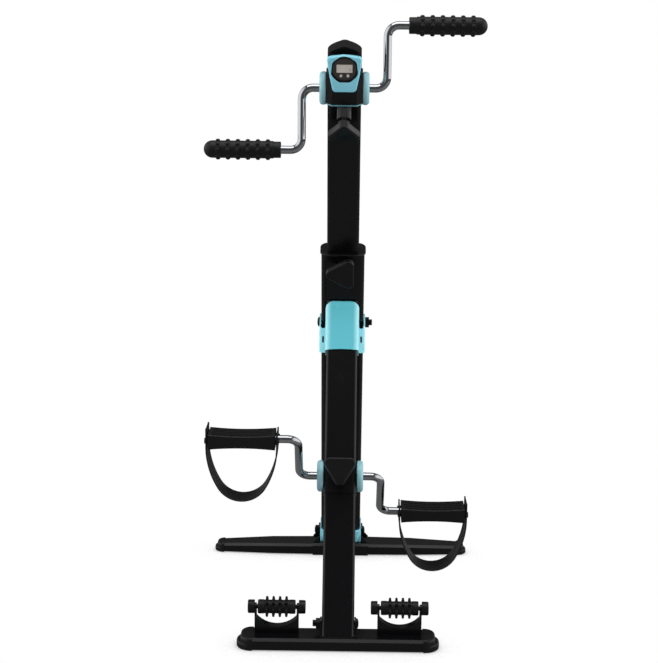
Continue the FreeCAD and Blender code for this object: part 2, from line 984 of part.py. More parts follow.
def mast():
    """The column that slides in the sleeve, with openings for the crank in its head."""
    body = new_body("mast")
    low = size.guide_bottom + size.bracket_plate
    top = size.head_station + size.column_above_head
    tube(body, size.column_width, size.column_depth, size.column_corner, low, top)
    cross_hole(body, size.bush_radius + size.running_gap, ZERO, size.head_station)
    finish(body, places.member)
    cut_along_knob(body, size.pad_radius + size.gap * 2, size.head_station)


def cut_along_knob(body, radius, station):
    """A round hole that slants forwards and down from the crank axis, for the brake pad."""
    slanted = new_sketch(body, "XZ_Plane")
    slanted.AttachmentOffset = shift(y=station) * turn(X_AXIS, size.head_knob_angle.number)
    bind(slanted, "AttachmentOffset.Base.y", station)
    circle(slanted, radius)
    pocket(slanted, size.head_boss_reach + size.overrun, backwards=True)


def mast_guide():
    """The moulded slide round the column's lower end, inside the wide tube."""
    body = new_body("mast_guide")
    block = new_sketch(body, "XY_Plane", size.guide_bottom)
    fit = (size.tube_wall + size.slide_gap) * 2
    corner = size.tube_corner - size.tube_wall
    rounded_rectangle(block, size.tube_width - fit, size.tube_depth - fit, corner)
    pad(block, size.guide_height)
    seat = new_sketch(body, "XY_Plane", size.guide_bottom + size.guide_height)
    rounded_rectangle(seat, size.column_width, size.column_depth, size.column_corner)
    pocket(seat, size.guide_height - size.bracket_plate)
    bore = new_sketch(body, "XY_Plane", size.guide_bottom)
    inner = size.column_width / 2 - size.column_corner
    depth = size.column_depth / 2 - size.column_corner
    rectangle(bore, -inner, inner, -depth, depth)
    pocket(bore, size.guide_height, backwards=True)
    finish(body, places.member)


def mast_cap():
    """The peaked end cap on top of the column, with a spigot down into it."""
    body = new_body("mast_cap")
    half = size.column_width / 2
    low, shoulder, peak = size.column_above_head, size.cap_shoulder, size.cap_peak
    crown = size.cap_peak_width / 2
    front = new_sketch(body, "XZ_Plane")
    outline(
        front,
        [
            (-half, low),
            (half, low),
            (half, shoulder, size.column_width, "left"),
            (crown, peak, size.cap_peak_width, "left"),
            (-crown, peak, size.column_width, "left"),
            (-half, shoulder),
        ],
    )
    pad(front, size.column_depth, both_ways=True)
    round_edges(body, size.column_corner, lambda edge: straight_along(edge, Z_AXIS))
    spigot = new_sketch(body, "XY_Plane", low)
    fit = (size.tube_wall + size.slide_gap) * 2
    corner = size.column_corner - size.tube_wall
    rounded_rectangle(spigot, size.column_width - fit, size.column_depth - fit, corner)
    pad(spigot, size.cap_spigot, backwards=True)
    finish(body, places.head)


# Head housing and console


def housing_plan(sketch, proud):
    """The housing seen from above: flat back and cheeks, and a front that narrows to a flat."""
    half = size.housing_width / 2
    flat = size.housing_flat / 2
    front, back = -size.housing_front - proud, size.housing_back + proud
    cheek = -size.housing_cheek
    outline(
        sketch,
        [
            (flat, front),
            (half, cheek),
            (half, back),
            (-half, back),
            (-half, cheek),
            (-flat, front),
        ],
    )


def column_opening(body, low, height):
    inside = new_sketch(body, "XY_Plane", low)
    fit = size.gap
    rounded_rectangle(
        inside, size.column_width + fit, size.column_depth + fit, size.column_corner
    )
    pocket(inside, height, backwards=True)


def head_housing():
    """The black housing round the column that carries the hand crank and the console."""
    body = new_body("head_housing")
    plan = new_sketch(body, "XY_Plane", -size.housing_below)
    housing_plan(plan, ZERO)
    height = size.housing_below + size.housing_above
    pad(plan, height)
    pod = new_sketch(body, "XY_Plane", size.housing_above)
    half = size.pod_width / 2
    back = -(size.column_depth / 2 + size.gap)
    rectangle(pod, -half, half, -size.housing_front, back)
    pad(pod, size.pod_above - size.housing_above)
    boss = new_sketch(body, "XZ_Plane")
    boss.AttachmentOffset = turn(X_AXIS, size.head_knob_angle.number)
    circle(boss, size.head_boss_radius)
    pad(boss, size.head_boss_reach)
    cut_boss_behind_rim(body)
    clear = size.head_boss_radius * 2
    column_opening(body, -size.housing_below - clear, height + clear * 2)
    cross_hole(body, size.bush_radius + size.running_gap, ZERO, ZERO)
    cut_slanted(body, size.stud_radius + size.running_gap, size.head_boss_reach + size.overrun)
    guide_end = size.drum_radius + size.running_gap + size.pad_length + size.gap
    cut_slanted(body, size.pad_radius + size.running_gap, guide_end)
    finish(body, places.head)


def cut_boss_behind_rim(body):
    """Cut away the boss ahead of the housing, down to where the rim has passed in front of it."""
    front, strip = -size.housing_front, size.rim_strip
    low = -size.housing_below
    region = new_sketch(body, "YZ_Plane")
    outline(
        region,
        [
            (front - size.head_boss_reach, low - size.rim_height),
            (front + strip, low - size.rim_height),
            (front + strip, low),
            (front, low),
            (front, ZERO),
            (front - size.head_boss_reach, ZERO),
        ],
    )
    pocket(region, size.housing_width, both_ways=True)


def cut_slanted(body, radius, reach):
    slanted = new_sketch(body, "XZ_Plane")
    slanted.AttachmentOffset = turn(X_AXIS, size.head_knob_angle.number)
    circle(slanted, radius)
    pocket(slanted, reach, backwards=True)


def head_rim():
    """The thin light rim under the housing."""
    body = new_body("head_rim")
    low = -size.housing_below - size.rim_height
    plan = new_sketch(body, "XY_Plane", low)
    housing_plan(plan, size.rim_proud)
    pad(plan, size.rim_height)
    column_opening(body, low, size.rim_height)
    passage = new_sketch(body, "XY_Plane", low)
    half = size.head_boss_radius + size.slide_gap
    front = -size.housing_front + size.rim_strip + size.slide_gap
    rectangle(passage, -half, half, front - size.slide_gap * 2, ZERO)
    pocket(passage, size.rim_height, backwards=True)
    finish(body, places.head)


def bezel():
    """The coloured console shell: arched top, sides drawn in to a narrow rounded foot."""
    body = new_body("console_bezel")
    half, foot = size.bezel_width / 2, size.bezel_bottom_width / 2
    top_half, corner = size.bezel_top_width / 2, size.bezel_bottom_corner
    low = size.bezel_bottom + corner
    side = crown_radius(size.bezel_waist - low, half - foot)
    shape = new_sketch(body, "XZ_Plane", size.housing_front)
    outline(
        shape,
        [
            (corner - foot, size.bezel_bottom),
            (foot - corner, size.bezel_bottom, corner * 2, "left"),
            (foot, low, side, "left"),
            (half, size.bezel_waist),
            (half, size.bezel_shoulder, half, "left"),
            (top_half, size.bezel_top - corner, size.bezel_width, "left"),
            (-top_half, size.bezel_top - corner, half, "left"),
            (-half, size.bezel_shoulder),
            (-half, size.bezel_waist, side, "left"),
            (-foot, low, corner * 2, "left"),
        ],
    )
    pad(shape, size.bezel_depth)
    front = -(size.housing_front + size.bezel_depth).number
    round_edges(body, size.bezel_edge, lambda edge: near(edge.BoundBox.YMax, front))
    hole = new_sketch(body, "XZ_Plane", size.housing_front)
    circle(hole, size.dial_radius + size.slide_gap, ZERO, size.dial_height)
    pocket(hole, size.bezel_depth, backwards=True)
    finish(body, places.head)


def dial_ring():
    """The black ring round the dial."""
    body = new_body("dial_ring")
    shape = new_sketch(body, "XZ_Plane", size.housing_front)
    circle(shape, size.dial_radius, ZERO, size.dial_height)
    circle(shape, size.dial_radius - size.dial_ring, ZERO, size.dial_height)
    pad(shape, size.bezel_depth - size.dial_ring_inset)
    finish(body, places.head)


def button_x(side):
    return size.button_spacing / 2 * side


def dial_face():
    """The recessed dark face, with two holes for its buttons."""
    body = new_body("dial_face")
    front = size.housing_front + size.bezel_depth - size.dial_recess
    back = size.housing_front + size.board_depth
    shape = new_sketch(body, "XZ_Plane", back)
    radius = size.dial_radius - size.dial_ring - size.slide_gap
    circle(shape, radius, ZERO, size.dial_height)
    for side in (-1, 1):
        height = size.dial_height - size.button_drop
        circle(shape, size.button_radius + size.gap, button_x(side), height)
    pad(shape, front - back)
    finish(body, places.head)


def lcd_panel():
    body = new_body("lcd_panel")
    front = size.housing_front + size.bezel_depth - size.dial_recess
    shape = new_sketch(body, "XZ_Plane", front)
    middle = size.dial_height + size.lcd_rise
    half, tall = size.lcd_width / 2, size.lcd_height / 2
    rectangle(shape, -half, half, middle - tall, middle + tall)
    pad(shape, size.lcd_depth)
    finish(body, places.head)


def console_button(name, side):
    """A short button that stands out of the dial and clears the circuit board when pressed."""
    body = new_body(name)
    back = size.housing_front + size.board_depth + size.button_travel + size.gap
    front = size.housing_front + size.bezel_depth - size.dial_recess + size.button_rise
    shape = new_sketch(body, "XZ_Plane", back)
    height = size.dial_height - size.button_drop
    circle(shape, size.button_radius, button_x(side), height)
    pad(shape, front - back)
    finish(body, places.head)


def circuit_board():
    body = new_body("circuit_board")
    shape = new_sketch(body, "XZ_Plane", size.housing_front)
    radius = size.dial_radius - size.dial_ring - size.gap
    circle(shape, radius, ZERO, size.dial_height)
    pad(shape, size.board_depth)
    finish(body, places.head)


# Cranks


def crank_disc(label, radius, inner_x, placement):
    """A rounded cover over one bearing, with a shallow dish round the rod."""
    body = new_body(label)
    edge = size.disc_edge
    outer_x = inner_x + size.disc_width
    bore = size.rod_radius + size.gap * 2
    dish = size.disc_dish_radius
    profile = new_sketch(body, "XZ_Plane")
    outline(
        profile,
        [
            (inner_x, bore),
            (outer_x - size.disc_dish, bore),
            (outer_x - size.disc_dish, dish),
            (outer_x, dish + size.disc_dish),
            (outer_x, radius - edge, edge, "right"),
            (outer_x - edge, radius),
            (inner_x + edge / 2, radius, edge / 2, "left"),
            (inner_x, radius - edge / 2),
        ],
    )
    revolve(profile, "X_Axis")
    finish(body, placement)


def crank_bushes(label, outer_x, wall_x, placement):
    """Two flanged bearing bushes in the walls of a tube."""
    bushes = []
    bore = size.rod_radius + size.running_gap
    inner_x = wall_x - size.bush_flange_depth
    for side in ("left", "right"):
        body = new_body(f"{side}_{label}")
        profile = new_sketch(body, "XZ_Plane")
        outline(
            profile,
            [
                (inner_x, bore),
                (outer_x, bore),
                (outer_x, size.bush_radius),
                (wall_x, size.bush_radius),
                (wall_x, size.bush_flange),
                (inner_x, size.bush_flange),
            ],
        )
        revolve(profile, "X_Axis")
        bushes.append(body)
    group(label, bushes, [placement * turn(Z_AXIS, 180), placement])


def crank_drum(label, placement):
    """The brake drum that joins the two rods inside the tube."""
    body = new_body(label)
    half = size.drum_half
    profile = new_sketch(body, "XZ_Plane")
    bore = size.rod_radius + size.running_gap / 2
    outline(
        profile,
        [
            (-size.rod_inner, ZERO),
            (size.rod_inner, ZERO),
            (size.rod_inner, bore),
            (half, bore),
            (half, size.drum_radius),
            (-half, size.drum_radius),
            (-half, bore),
            (-size.rod_inner, bore),
        ],
    )
    revolve(profile, "X_Axis")
    finish(body, placement)


def crank_rod(label, reach, placement):
    """A bent rod: out of the tube, along the arm and out again to its free end."""
    body = new_body(label)
    bend, arm, throw = size.rod_bend, size.arm_reach, size.crank_throw
    path = new_sketch(body, "XZ_Plane")
    stops = [
        (size.rod_inner, ZERO),
        (arm - bend, ZERO, bend, "left"),
        (arm, bend),
        (arm, throw - bend, bend, "right"),
        (arm + bend, throw),
        (reach, throw),
    ]
    open_path(path, stops)
    section = new_sketch(body, "YZ_Plane", size.rod_inner)
    circle(section, size.rod_radius)
    rod = body.newObject("PartDesign::AdditivePipe", f"{label}_pipe")
    rod.Profile = section
    rod.Spine = (path, [])
    finish(body, placement)


def open_path(sketch, stops):
    """A chain of lines and arcs from the first stop to the last."""
    ends = []
    for start, end in zip(stops, stops[1:]):
        first = Vector(start[0].number, start[1].number, 0)
        last = Vector(end[0].number, end[1].number, 0)
        if len(start) == 2:
            shape = sketch.addGeometry(Part.LineSegment(first, last))
            ends.append((shape, 1, 2))
        else:
            shape = sketch.addGeometry(arc_between(first, last, start[2].number, start[3]))
            ends.append((shape, 2, 1) if start[3] == "right" else (shape, 1, 2))
            fix_radius(sketch, shape, start[2])
        fix(sketch, shape, ends[-1][1], start[0], start[1])
    for (shape, _, end), (following, start, _) in zip(ends, ends[1:]):
        sketch.addConstraint(Sketcher.Constraint("Coincident", shape, end, following, start))
    fix(sketch, ends[-1][0], ends[-1][2], stops[-1][0], stops[-1][1])


def brake_pad(label, placement):
    """The friction plug that the resistance screw presses on the drum, along -Y."""
    body = new_body(label)
    start = size.drum_radius + size.running_gap
    shape = new_sketch(body, "XZ_Plane", start)
    circle(shape, size.pad_radius)
    pad(shape, size.pad_length)
    finish(body, placement)


def knob(label, stud_start, neck_start, lobe_angle, placement):
    """A three-lobed clamping knob on a steel stud, both along -Y."""
    lobe = size.knob_radius - size.knob_lobe_radius
    head_start = neck_start + size.neck_length
    body = new_body(label)
    neck = new_sketch(body, "XZ_Plane", neck_start)
    circle(neck, size.neck_radius)
    pad(neck, size.neck_length)
    plate = new_sketch(body, "XZ_Plane", head_start)
    knob_outline(plate, lobe, size.knob_lobe_radius, lobe_angle)
    pad(plate, size.knob_thickness)
    faces = [-head_start.number, -(head_start + size.knob_thickness).number]
    flat = lambda edge: any(
        near(edge.BoundBox.YMin, y) and near(edge.BoundBox.YMax, y) for y in faces
    )
    wide = lambda edge: edge.BoundBox.DiagonalLength > size.neck_radius.number * WIDE_EDGE_SHARE
    round_edges(body, size.knob_edge, lambda edge: flat(edge) and (wide(edge) or lobed(edge)))
    bore = new_sketch(body, "XZ_Plane", neck_start)
    circle(bore, size.stud_radius)
    pocket(bore, size.stud_in_knob, backwards=True)
    finish(body, placement)
    stud = new_body(f"{label}_stud")
    shape = new_sketch(stud, "XZ_Plane", stud_start)
    circle(shape, size.stud_radius)
    pad(shape, neck_start + size.stud_in_knob - stud_start)
    finish(stud, placement)


def lobed(edge):
    """Whether an edge is one of the knob's round lobes."""
    curve = edge.Curve
    return curve.TypeId == "Part::GeomCircle" and near(
        curve.Radius, size.knob_lobe_radius.number
    )


def knob_outline(sketch, reach, lobe, first):
    """Three round lobes joined by straight sides, the first lobe at an angle from the right."""
    directions = [first + 120 * i for i in range(3)]
    corners = []
    for angle in directions:
        for side_angle, leads_on in ((angle - 60, "lobe"), (angle + 60, "side")):
            x = reach * math.cos(math.radians(angle)) + lobe * math.cos(math.radians(side_angle))
            y = reach * math.sin(math.radians(angle)) + lobe * math.sin(math.radians(side_angle))
            corners.append((x, y, lobe, "left") if leads_on == "lobe" else (x, y))
    outline(sketch, corners)


def grip(label, placement):
    """A rubber hand grip that turns on the end of its rod, with rows of nubs."""
    body = new_body(label)
    start, end, radius, tip = size.grip_start, size.grip_end, size.grip_radius, size.grip_tip
    collar_end = start + size.grip_collar_length
    bore = size.rod_radius + size.slide_gap
    blind = size.hand_rod_reach + size.gap
    profile = new_sketch(body, "XZ_Plane")
    outline(
        profile,
        [
            (start, bore),
            (blind, bore),
            (blind, ZERO),
            (end, ZERO),
            (end, tip, radius - tip, "left"),
            (end - radius + tip, radius),
            (collar_end, radius),
            (collar_end, size.grip_collar_radius),
            (start, size.grip_collar_radius),
        ],
    )
    revolve(profile, "X_Axis")
    first = start + size.nub_first
    stud_field(
        body,
        first,
        radius,
        (size.nub_base_radius, size.nub_tip_radius, size.nub_height),
        (NUB_ROWS, size.nub_pitch, NUBS_AROUND),
    )
    finish(body, placement)


def stud_field(body, first, radius, stud, repeat):
    """Rows of small cones round a body of revolution about X."""
    base, tip, height = stud
    rows, pitch, around = repeat
    sunk = height / 2
    doc.recompute()
    cone = body.newObject("PartDesign::AdditiveCone", f"{body.Label}_stud")
    cone.AttachmentSupport = [(origin_feature(body, "XY_Plane"), "")]
    cone.MapMode = "FlatFace"
    cone.AttachmentOffset = shift(x=first, z=radius - sunk)
    bind(cone, "AttachmentOffset.Base.x", first)
    bind(cone, "AttachmentOffset.Base.z", radius - sunk)
    bind(cone, "Radius1", base)
    bind(cone, "Radius2", tip)
    bind(cone, "Height", height + sunk)
    doc.recompute()
    repeated = body.newObject("PartDesign::MultiTransform", f"{body.Label}_studs")
    line = doc.addObject("PartDesign::LinearPattern", f"{body.Label}_rows")
    line.Direction = (origin_feature(body, "X_Axis"), [""])
    line.Occurrences = rows
    bind(line, "Length", pitch * (rows - 1))
    ring = doc.addObject("PartDesign::PolarPattern", f"{body.Label}_rings")
    ring.Axis = (origin_feature(body, "X_Axis"), [""])
    ring.Angle = 360
    ring.Occurrences = around
    repeated.Originals = [cone]
    repeated.Transformations = [line, ring]
    body.Tip = repeated
    doc.recompute()


# Front leg, its hinge bracket and the leg crank's hub


def member_in_leg(ahead, along):
    """A point on the leaning member, ahead of its hinge and along it, in the leg's frame."""
    angle = size.frame_angle
    y = size.hinge_setback - ahead * cosine(angle) - along * sine(angle)
    z = size.hinge_on_leg - ahead * sine(angle) + along * cosine(angle)
    return y, z


def cut_clear_of_member(body, width=None):
    """Cut the piece back to just in front of the leaning member."""
    ahead = size.tube_depth / 2 + size.gap
    reach = size.tube_width * 2
    region = new_sketch(body, "YZ_Plane")
    outline(
        region,
        [
            member_in_leg(ahead, -reach),
            member_in_leg(-reach, -reach),
            member_in_leg(-reach, reach),
            member_in_leg(ahead, reach),
        ],
    )
    pocket(region, width, both_ways=True)


def front_leg():
    """The front leg tube: level at its foot, mitred on top to stop against the member."""
    body = new_body("front_leg")
    top = size.hinge_on_leg + size.tongue_top
    tube(
        body, size.leg_width, size.leg_depth, size.leg_corner, -size.front_bolt_height, top
    )
    rest = size.foot_height + size.bracket_plate + size.gap
    drop = size.front_bolt_height - rest
    cut_below_level(body, -size.leg_lean, drop, size.leg_depth)
    cross_hole(body, size.bolt_radius + size.bolt_gap, ZERO, ZERO)
    cross_hole(body, size.bush_radius + size.running_gap, ZERO, size.hub_station)
    hole = new_sketch(body, "XZ_Plane")
    circle(hole, size.pad_radius + size.gap, ZERO, size.hub_station)
    pocket(hole, size.leg_depth, backwards=True)
    cut_clear_of_member(body)
    finish(body, places.leg)


def hinge_bracket():
    """The pressed hinge bracket: a tongue over the leg, and wings out to the member's sides."""
    body = new_body("hinge_bracket")
    plate = size.hinge_ear_plate
    hinge_y, hinge_z = size.hinge_setback, size.hinge_on_leg
    wing_y = size.wing_setback
    ear_in = size.tube_width / 2 + size.gap
    ear_out = ear_in + plate
    radius = size.hinge_ear_radius
    far, close = EAR_TOUCH_SHARES
    wings = new_sketch(body, "YZ_Plane")
    outline(
        wings,
        [
            (wing_y, hinge_z - size.wing_bottom),
            (hinge_y + radius * far, hinge_z - radius * close, radius, "left"),
            (hinge_y, hinge_z + radius, radius, "left"),
            (hinge_y - radius * close, hinge_z + radius * far),
            (wing_y, hinge_z - size.wing_top),
        ],
    )
    pad(wings, ear_out * 2, both_ways=True)
    round_edges(
        body,
        size.tongue_bend / 2,
        lambda edge: straight_along(edge, Z_AXIS) and near(edge.BoundBox.YMax, wing_y.number),
    )
    front = size.leg_depth / 2 + plate
    half = size.tongue_width / 2
    corner = size.tongue_corner
    low, high = hinge_z - size.tongue_bottom, hinge_z + size.tongue_top
    tongue = new_sketch(body, "XZ_Plane", front)
    outline(
        tongue,
        [
            (-half, low),
            (half, low),
            (half, high - corner, corner, "left"),
            (half - corner, high),
            (corner - half, high, corner, "left"),
            (-half, high - corner),
        ],
    )
    pad(tongue, front + wing_y + plate / 2, backwards=True)
    bend = lambda edge: straight_along(edge, Z_AXIS) and near(edge.BoundBox.YMax, -front.number)
    round_edges(body, size.tongue_bend, bend)
    between = new_sketch(body, "XY_Plane")
    back = hinge_y + radius + size.overrun
    rectangle(between, -ear_in, ear_in, wing_y + plate, back)
    pocket(between, both_ways=True)
    channel = new_sketch(body, "XY_Plane")
    leg_half, leg_front = size.leg_width / 2, size.leg_depth / 2
    rectangle(channel, -leg_half, leg_half, -leg_front, wing_y + plate * 2)
    pocket(channel, both_ways=True)
    lip = new_sketch(body, "YZ_Plane")
    outline(
        lip,
        [
            (size.tongue_lip - leg_front, high + size.overrun),
            (size.tongue_lip - leg_front, high),
            (wing_y, hinge_z - size.wing_top),
            (wing_y, high + size.overrun),
        ],
    )
    pocket(lip, size.tongue_width + plate, both_ways=True)
    cut_clear_of_member(body, ear_in * 2)
    arch = new_sketch(body, "XZ_Plane", front + size.overrun)
    outline(
        arch,
        [
            (-half, low - size.overrun),
            (half, low - size.overrun),
            (half - plate, low, crown_radius(half - plate, size.tongue_arch), "left"),
            (plate - half, low),
        ],
    )
    pocket(arch, front + size.overrun + wing_y - plate, backwards=False)
    wing_notches(body, half, ear_in)
    cross_hole(body, size.bolt_radius + size.bolt_gap, hinge_y, hinge_z)
    finish(body, places.leg)


def wing_notches(body, tongue_half, ear_in):
    """Round-bottomed notches between tongue and ears, and a slot through each wing below."""
    reach = size.wing_setback + size.hinge_ear_plate + size.overrun
    round_end = (ear_in - tongue_half) / 2
    hinge = size.hinge_on_leg
    middle = tongue_half + round_end
    start = hinge - size.notch_bottom + round_end
    slot, slot_half = size.wing_slot_width / 2, size.wing_slot_length / 2
    slot_middle = hinge - size.wing_slot_drop
    for side in (1, -1):
        turning = "right" if side > 0 else "left"
        notch = new_sketch(body, "XZ_Plane")
        outline(
            notch,
            [
                (ear_in * side, hinge),
                (ear_in * side, start, round_end, turning),
                (middle * side, start - round_end, round_end, turning),
                (tongue_half * side, start),
                (tongue_half * side, hinge),
            ],
        )
        pocket(notch, reach, backwards=False)
        opening = new_sketch(body, "XZ_Plane")
        outline(
            opening,
            [
                (middle * side - slot, slot_middle - slot_half),
                (middle * side, slot_middle - slot_half - slot, slot, "left"),
                (middle * side + slot, slot_middle - slot_half),
                (middle * side + slot, slot_middle + slot_half, slot, "left"),
                (middle * side, slot_middle + slot_half + slot, slot, "left"),
                (middle * side - slot, slot_middle + slot_half),
            ],
        )
        pocket(opening, reach, backwards=False)


def leg_hub():
    """The black sleeve round the leg that carries the crank covers and the brake screw."""
    body = new_body("leg_hub")
    low = -size.hub_below
    height = size.hub_below + size.hub_above
    wall = size.hub_wall + size.slide_gap
    plan = new_sketch(body, "XY_Plane", low)
    width, depth = size.leg_width + wall * 2, size.leg_depth + wall * 2
    rounded_rectangle(plan, width, depth, size.leg_corner + wall)
    pad(plan, height)
    boss = new_sketch(body, "XZ_Plane", size.leg_depth / 2)
    circle(boss, size.hub_boss_radius)
    pad(boss, size.hub_boss_reach - size.leg_depth / 2)
    inside = new_sketch(body, "XY_Plane", low)
    fit = size.slide_gap * 2
    rounded_rectangle(inside, size.leg_width + fit, size.leg_depth + fit, size.leg_corner)
    pocket(inside, height, backwards=True)
    cross_hole(body, size.bush_radius + size.running_gap, ZERO, ZERO)
    stud_hole = new_sketch(body, "XZ_Plane")
    circle(stud_hole, size.stud_radius + size.running_gap)
    pocket(stud_hole, size.hub_boss_reach + size.overrun, backwards=True)
    pad_hole = new_sketch(body, "XZ_Plane")
    circle(pad_hole, size.pad_radius + size.running_gap)
    guide_end = size.drum_radius + size.running_gap + size.pad_length + size.gap
    pocket(pad_hole, guide_end, backwards=True)
    finish(body, places.hub)


# Pedals


def pedal(label, placement):
    """A pedal that hangs on its rod: waisted body, grooved tread and four strap pegs."""
    body = new_body(label)
    half, tall = size.pedal_length / 2, size.pedal_height / 2
    waist = crown_radius(half, size.pedal_sag)
    face = new_sketch(body, "XZ_Plane")
    outline(
        face,
        [
            (-half, -tall, waist, "right"),
            (half, -tall),
            (half, tall, waist, "right"),
            (-half, tall),
        ],
    )
    pad(face, size.pedal_depth, both_ways=True)
    limit = size.pedal_depth.number / 2
    long_edge = lambda edge: (
        near(abs(edge.BoundBox.YMin), limit)
        and near(edge.BoundBox.YMin, edge.BoundBox.YMax)
        and edge.BoundBox.XLength > half.number
    )
    round_edges(body, size.pedal_edge, long_edge)
    pegs(body, half)
    bore = new_sketch(body, "YZ_Plane", -half - size.peg_shoulder)
    circle(bore, size.rod_radius + size.slide_gap)
    depth = size.leg_rod_reach - size.pedal_centre + half + size.peg_shoulder + size.gap
    pocket(bore, depth, backwards=True)
    grooves(body, half, tall)
    finish(body, placement)


def pegs(body, half):
    """Strap pegs at both ends: a shoulder, a thin stem and a head outside the strap."""
    strap = size.strap_thickness + size.gap
    stages = [
        (size.peg_shoulder_radius, size.peg_shoulder),
        (size.peg_radius, size.peg_shoulder + strap),
        (size.peg_shoulder_radius, size.peg_shoulder + strap + size.peg_head),
    ]
    for way in (1, -1):
        start = ZERO
        for radius, end in stages:
            ring = new_sketch(body, "YZ_Plane", (half + start) * way)
            for y in (size.peg_offset, -size.peg_offset):
                circle(ring, radius, y, ZERO)
            pad(ring, end - start, backwards=way < 0)
            start = end


def grooves(body, half, tall):
    """Shallow grooves along the tread."""
    doc.recompute()
    first = -size.groove_pitch * ((PEDAL_GROOVES - 1) / 2)
    cut = new_sketch(body, "XY_Plane", tall - size.groove_depth - size.pedal_sag)
    edge = half - size.pedal_edge * 2
    low = first - size.groove_width / 2
    rectangle(cut, -edge, edge, low, low + size.groove_width)
    groove = pocket(cut, tall, backwards=True)
    rows = body.newObject("PartDesign::LinearPattern", f"{body.Label}_grooves")
    rows.Originals = [groove]
    rows.Direction = (origin_feature(body, "Y_Axis"), [""])
    rows.Occurrences = PEDAL_GROOVES
    bind(rows, "Length", size.groove_pitch * (PEDAL_GROOVES - 1))
    body.Tip = rows
    doc.recompute()


def strap_half(drop, half, bottom, start):
    """The side radius of a three-centred loop, and where it meets the bottom arc."""
    deep = drop - start - bottom
    across = half.number - bottom.number
    side = (half.number**2 + deep.number**2 - bottom.number**2) / (2 * across)
    span = side - bottom.number
    x = bottom * ((side - half.number) / span)
    z = -start - deep - bottom * (deep.number / span)
    return half * (side / half.number), x, z


def strap(label, placement):
    """The foot strap: a band that hangs in a loop under the pedal."""
    body = new_body(label)
    thick = size.strap_thickness
    half = size.pedal_length / 2 + size.peg_shoulder + thick
    top, inner_top, start = size.strap_top, size.strap_inner_top, size.strap_arc_start
    bottom = size.strap_bottom_radius
    side, x, z = strap_half(size.strap_drop, half, bottom, start)
    inner_side, inner_x, inner_z = strap_half(
        size.strap_drop - thick, half - thick, bottom - thick, start
    )
    inner = half - thick
    loop = new_sketch(body, "XZ_Plane")
    outline(
        loop,
        [
            (half, top),
            (half, -start, side, "right"),
            (x, z, bottom, "right"),
            (-x, z, side, "right"),
            (-half, -start),
            (-half, inner_top),
            (-inner, inner_top),
            (-inner, -start, inner_side, "left"),
            (-inner_x, inner_z, bottom - thick, "left"),
            (inner_x, inner_z, inner_side, "left"),
            (inner, -start),
            (inner, top),
        ],
    )
    pad(loop, size.strap_width, both_ways=True)
    holes = new_sketch(body, "YZ_Plane")
    for y in (size.peg_offset, -size.peg_offset):
        circle(holes, size.peg_radius + size.gap, y, ZERO)
    pocket(holes, both_ways=True)
    rod_hole = new_sketch(body, "YZ_Plane")
    circle(rod_hole, size.strap_rod_hole)
    pocket(rod_hole, half + size.overrun)
    finish(body, placement)


# Massage rollers


def roller(label, placement):
    """A spiked rubber roller on its axle."""
    body = new_body(label)
    half = size.roller_length / 2
    ring = new_sketch(body, "YZ_Plane", -half)
    circle(ring, size.roller_radius)
    pad(ring, size.roller_length)
    stud_field(
        body,
        -size.spike_pitch * ((SPIKE_ROWS - 1) / 2),
        size.roller_radius,
        (size.spike_base_radius, size.spike_tip_radius, size.spike_height),
        (SPIKE_ROWS, size.spike_pitch, SPIKES_AROUND),
    )
    bore = new_sketch(body, "YZ_Plane", -half)
    circle(bore, size.axle_radius)
    pocket(bore, size.roller_length, backwards=True)
    finish(body, placement)


def roller_axle(label, placement):
    """The roller's axle, with a wheel at each end outside the cradle."""
    body = new_body(label)
    wheel_in = size.cradle_width / 2 + size.gap
    wheel_out = wheel_in + size.wheel_width
    edge, axle, wheel = size.wheel_edge, size.axle_radius, size.wheel_radius
    profile = new_sketch(body, "XZ_Plane")
    outline(
        profile,
        [
            (-wheel_out, ZERO),
            (wheel_out, ZERO),
            (wheel_out, wheel - edge, edge, "left"),
            (wheel_out - edge, wheel),
            (wheel_in, wheel),
            (wheel_in, axle),
            (-wheel_in, axle),
            (-wheel_in, wheel),
            (edge - wheel_out, wheel, edge, "left"),
            (-wheel_out, wheel - edge),
        ],
    )
    revolve(profile, "X_Axis")
    finish(body, placement)


def roller_cradle(label, placement):
    """The bracket under a roller: two ears joined by a wall with a sunken edge."""
    body = new_body(label)
    half = size.cradle_width / 2
    low = size.foot_height
    axis = size.roller_axis_height
    ear = size.cradle_ear
    inner = half - ear
    shoulder, valley = low + size.cradle_shoulder, low + size.cradle_valley
    sag_radius = crown_radius(inner, size.cradle_shoulder - size.cradle_valley)
    face = new_sketch(body, "XZ_Plane")
    outline(
        face,
        [
            (-half, low),
            (half, low),
            (half, axis),
            (inner, axis),
            (inner, shoulder, sag_radius, "right"),
            (ZERO, valley, sag_radius, "right"),
            (-inner, shoulder),
            (-inner, axis),
            (-half, axis),
        ],
    )
    pad(face, size.cradle_depth, both_ways=True)
    ends = new_sketch(body, "YZ_Plane")
    circle(ends, size.cradle_ear_radius, ZERO, axis)
    pad(ends, size.cradle_width, both_ways=True)
    clear = new_sketch(body, "XZ_Plane")
    rectangle(clear, -inner, inner, shoulder, axis * 2)
    pocket(clear, both_ways=True)
    cross_hole(body, size.axle_radius + size.running_gap, ZERO, axis)
    finish(body, placement)


